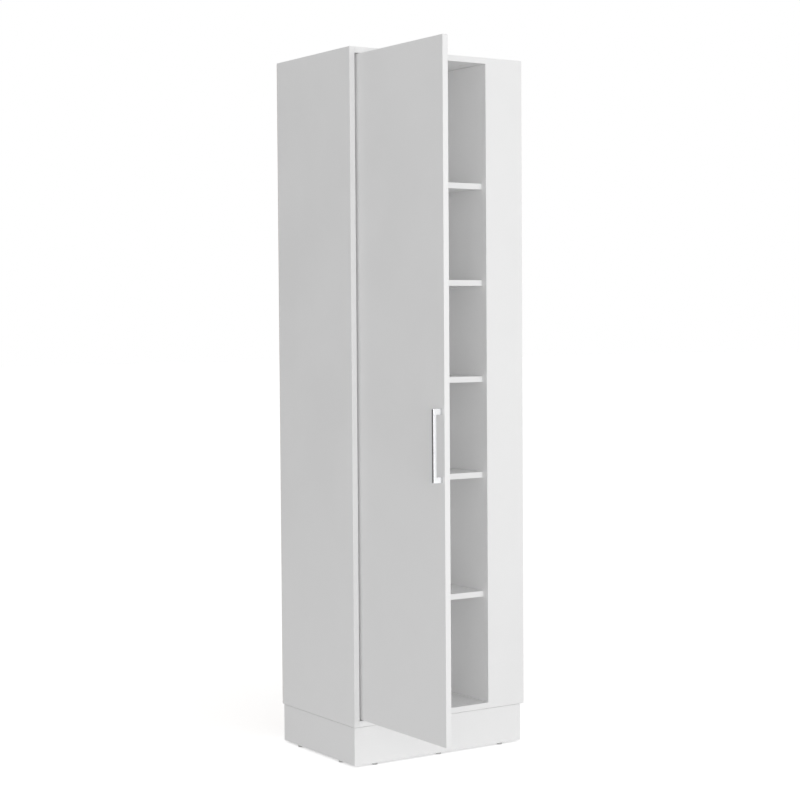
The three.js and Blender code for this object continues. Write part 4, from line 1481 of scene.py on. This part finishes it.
class CUPBOARD_OT_stage(bpy.types.Operator):
    """Sets up the camera, two soft lamps, an even white surround and a pale floor"""

    bl_idname = "cupboard.stage"
    bl_label = "Stage"

    def execute(self, context):
        scene = context.scene
        settings = scene.broom_cupboard.stage
        scene.view_settings.view_transform = "Standard"

        lens = bpy.data.cameras.new("camera")
        lens.sensor_width = CAMERA_SENSOR
        lens.lens = CAMERA_LENS
        camera = stand_in_scene("camera", lens)
        heading, tilt, roll = (math.radians(angle) for angle in (CAMERA_HEADING, CAMERA_TILT, CAMERA_ROLL))
        camera.matrix_world = (
            Matrix.Translation(CAMERA_PLACE)
            @ Matrix.Rotation(-heading, 4, "Z")
            @ Matrix.Rotation(math.pi / 2 + tilt, 4, "X")
            @ Matrix.Rotation(roll, 4, "Z")
        )
        scene.camera = camera

        for name, (place, wide, tall), power in (
            ("front_lamp", FRONT_LAMP, settings.key_power),
            ("left_lamp", LEFT_LAMP, settings.fill_power),
        ):
            lamp = bpy.data.lights.new(name, "AREA")
            lamp.shape = "RECTANGLE"
            lamp.size = wide
            lamp.size_y = tall
            lamp.energy = power
            stand_in_scene(name, lamp).matrix_world = aimed(place, STAGE_CENTRE, "-Z")

        # A grey card behind at the left gives the polished handle something darker to mirror.
        card = sheet("grey_card", CARD_HALF_WIDTH, CARD_HALF_HEIGHT)
        card.transform(aimed(CARD_PLACE, STAGE_CENTRE, "Z"))
        material, tree = start_material("grey_card")
        coat(tree, {"Base Color": (*settings.card_colour, 1), "Roughness": 0.9})
        card.materials.append(material)
        hung = stand_in_scene("grey_card", card)
        # Only mirrors see it, so that it takes no light away.
        hung.visible_camera = hung.visible_diffuse = hung.visible_shadow = False

        world = bpy.data.worlds.new("surround")
        world.use_nodes = True
        scene.world = world
        tree = world.node_tree
        tree.nodes.clear()
        seen = seen_rays(tree)
        dim = add(tree, "ShaderNodeBackground", {"Color": (1, 1, 1, 1), "Strength": settings.surround})
        white = add(tree, "ShaderNodeBackground", {"Color": (1, 1, 1, 1), "Strength": 1.0})
        sky = add(tree, "ShaderNodeMixShader", {0: seen, 1: dim.outputs[0], 2: white.outputs[0]})
        add(tree, "ShaderNodeOutputWorld", {"Surface": sky.outputs[0]})

        floor = sheet("floor", FLOOR_REACH, FLOOR_REACH)
        floor.materials.append(studio_floor(settings))
        stand_in_scene("floor", floor)
        return {"FINISHED"}


def seen_rays(tree):
    """One where the camera, a mirror or glass looks, and zero for light that falls on things."""
    path = add(tree, "ShaderNodeLightPath").outputs
    either = maths(tree, "MAXIMUM", path["Is Camera Ray"], path["Is Glossy Ray"])
    return maths(tree, "MAXIMUM", either, path["Is Transmission Ray"])


def studio_floor(settings):
    """Matt painted board. Where it is seen it glows up to white, and only the object's shadow is darker."""
    material, tree = start_material("studio_floor")
    coat(tree, {"Base Color": (*settings.floor_colour, 1), "Roughness": 0.9, "Specular IOR Level": 0.1})
    glow = maths(tree, "MULTIPLY", seen_rays(tree), settings.floor_glow)
    light = add(tree, "ShaderNodeEmission", {"Color": (1, 1, 1, 1), "Strength": glow}).outputs[0]
    board = tree.nodes["Principled BSDF"].outputs[0]
    both = add(tree, "ShaderNodeAddShader", {0: board, 1: light}).outputs[0]
    feed(tree, tree.nodes["Material Output"], {"Surface": both})
    return material


# Panel and start

OPERATORS = (
    CUPBOARD_OT_stage,
    CUPBOARD_OT_carcass,
    CUPBOARD_OT_shelves,
    CUPBOARD_OT_door,
    CUPBOARD_OT_plinth,
    CUPBOARD_OT_back,
    CUPBOARD_OT_glides,
    CUPBOARD_OT_shelf_pins,
    CUPBOARD_OT_hinges,
    CUPBOARD_OT_handle,
    CUPBOARD_OT_hook_rail,
    CUPBOARD_OT_fasteners,
    CUPBOARD_OT_connector_caps,
)


class CUPBOARD_PT_sidebar(bpy.types.Panel):
    """Lists the steps that build the cupboard"""

    bl_idname = "CUPBOARD_PT_sidebar"
    bl_label = "Broom cupboard"
    bl_space_type = "VIEW_3D"
    bl_region_type = "UI"
    bl_category = "Cupboard"

    def draw(self, context):
        settings = context.scene.broom_cupboard
        for group in (settings.boards, settings.fittings, settings.stage):
            box = self.layout.box()
            for name in group.__annotations__:
                box.prop(group, name)
        for operator in OPERATORS:
            self.layout.operator(operator.bl_idname)


CLASSES = (
    CupboardBoardSettings,
    CupboardFittingSettings,
    CupboardStageSettings,
    CupboardSettings,
    *OPERATORS,
    CUPBOARD_PT_sidebar,
)


def register():
    for item in CLASSES:
        bpy.utils.register_class(item)
    bpy.types.Scene.broom_cupboard = PointerProperty(type=CupboardSettings)


def unregister():
    del bpy.types.Scene.broom_cupboard
    for item in reversed(CLASSES):
        bpy.utils.unregister_class(item)


def main():
    register()
    for operator in OPERATORS:
        family, name = operator.bl_idname.split(".")
        getattr(getattr(bpy.ops, family), name)()


if __name__ == "__main__":
    main()
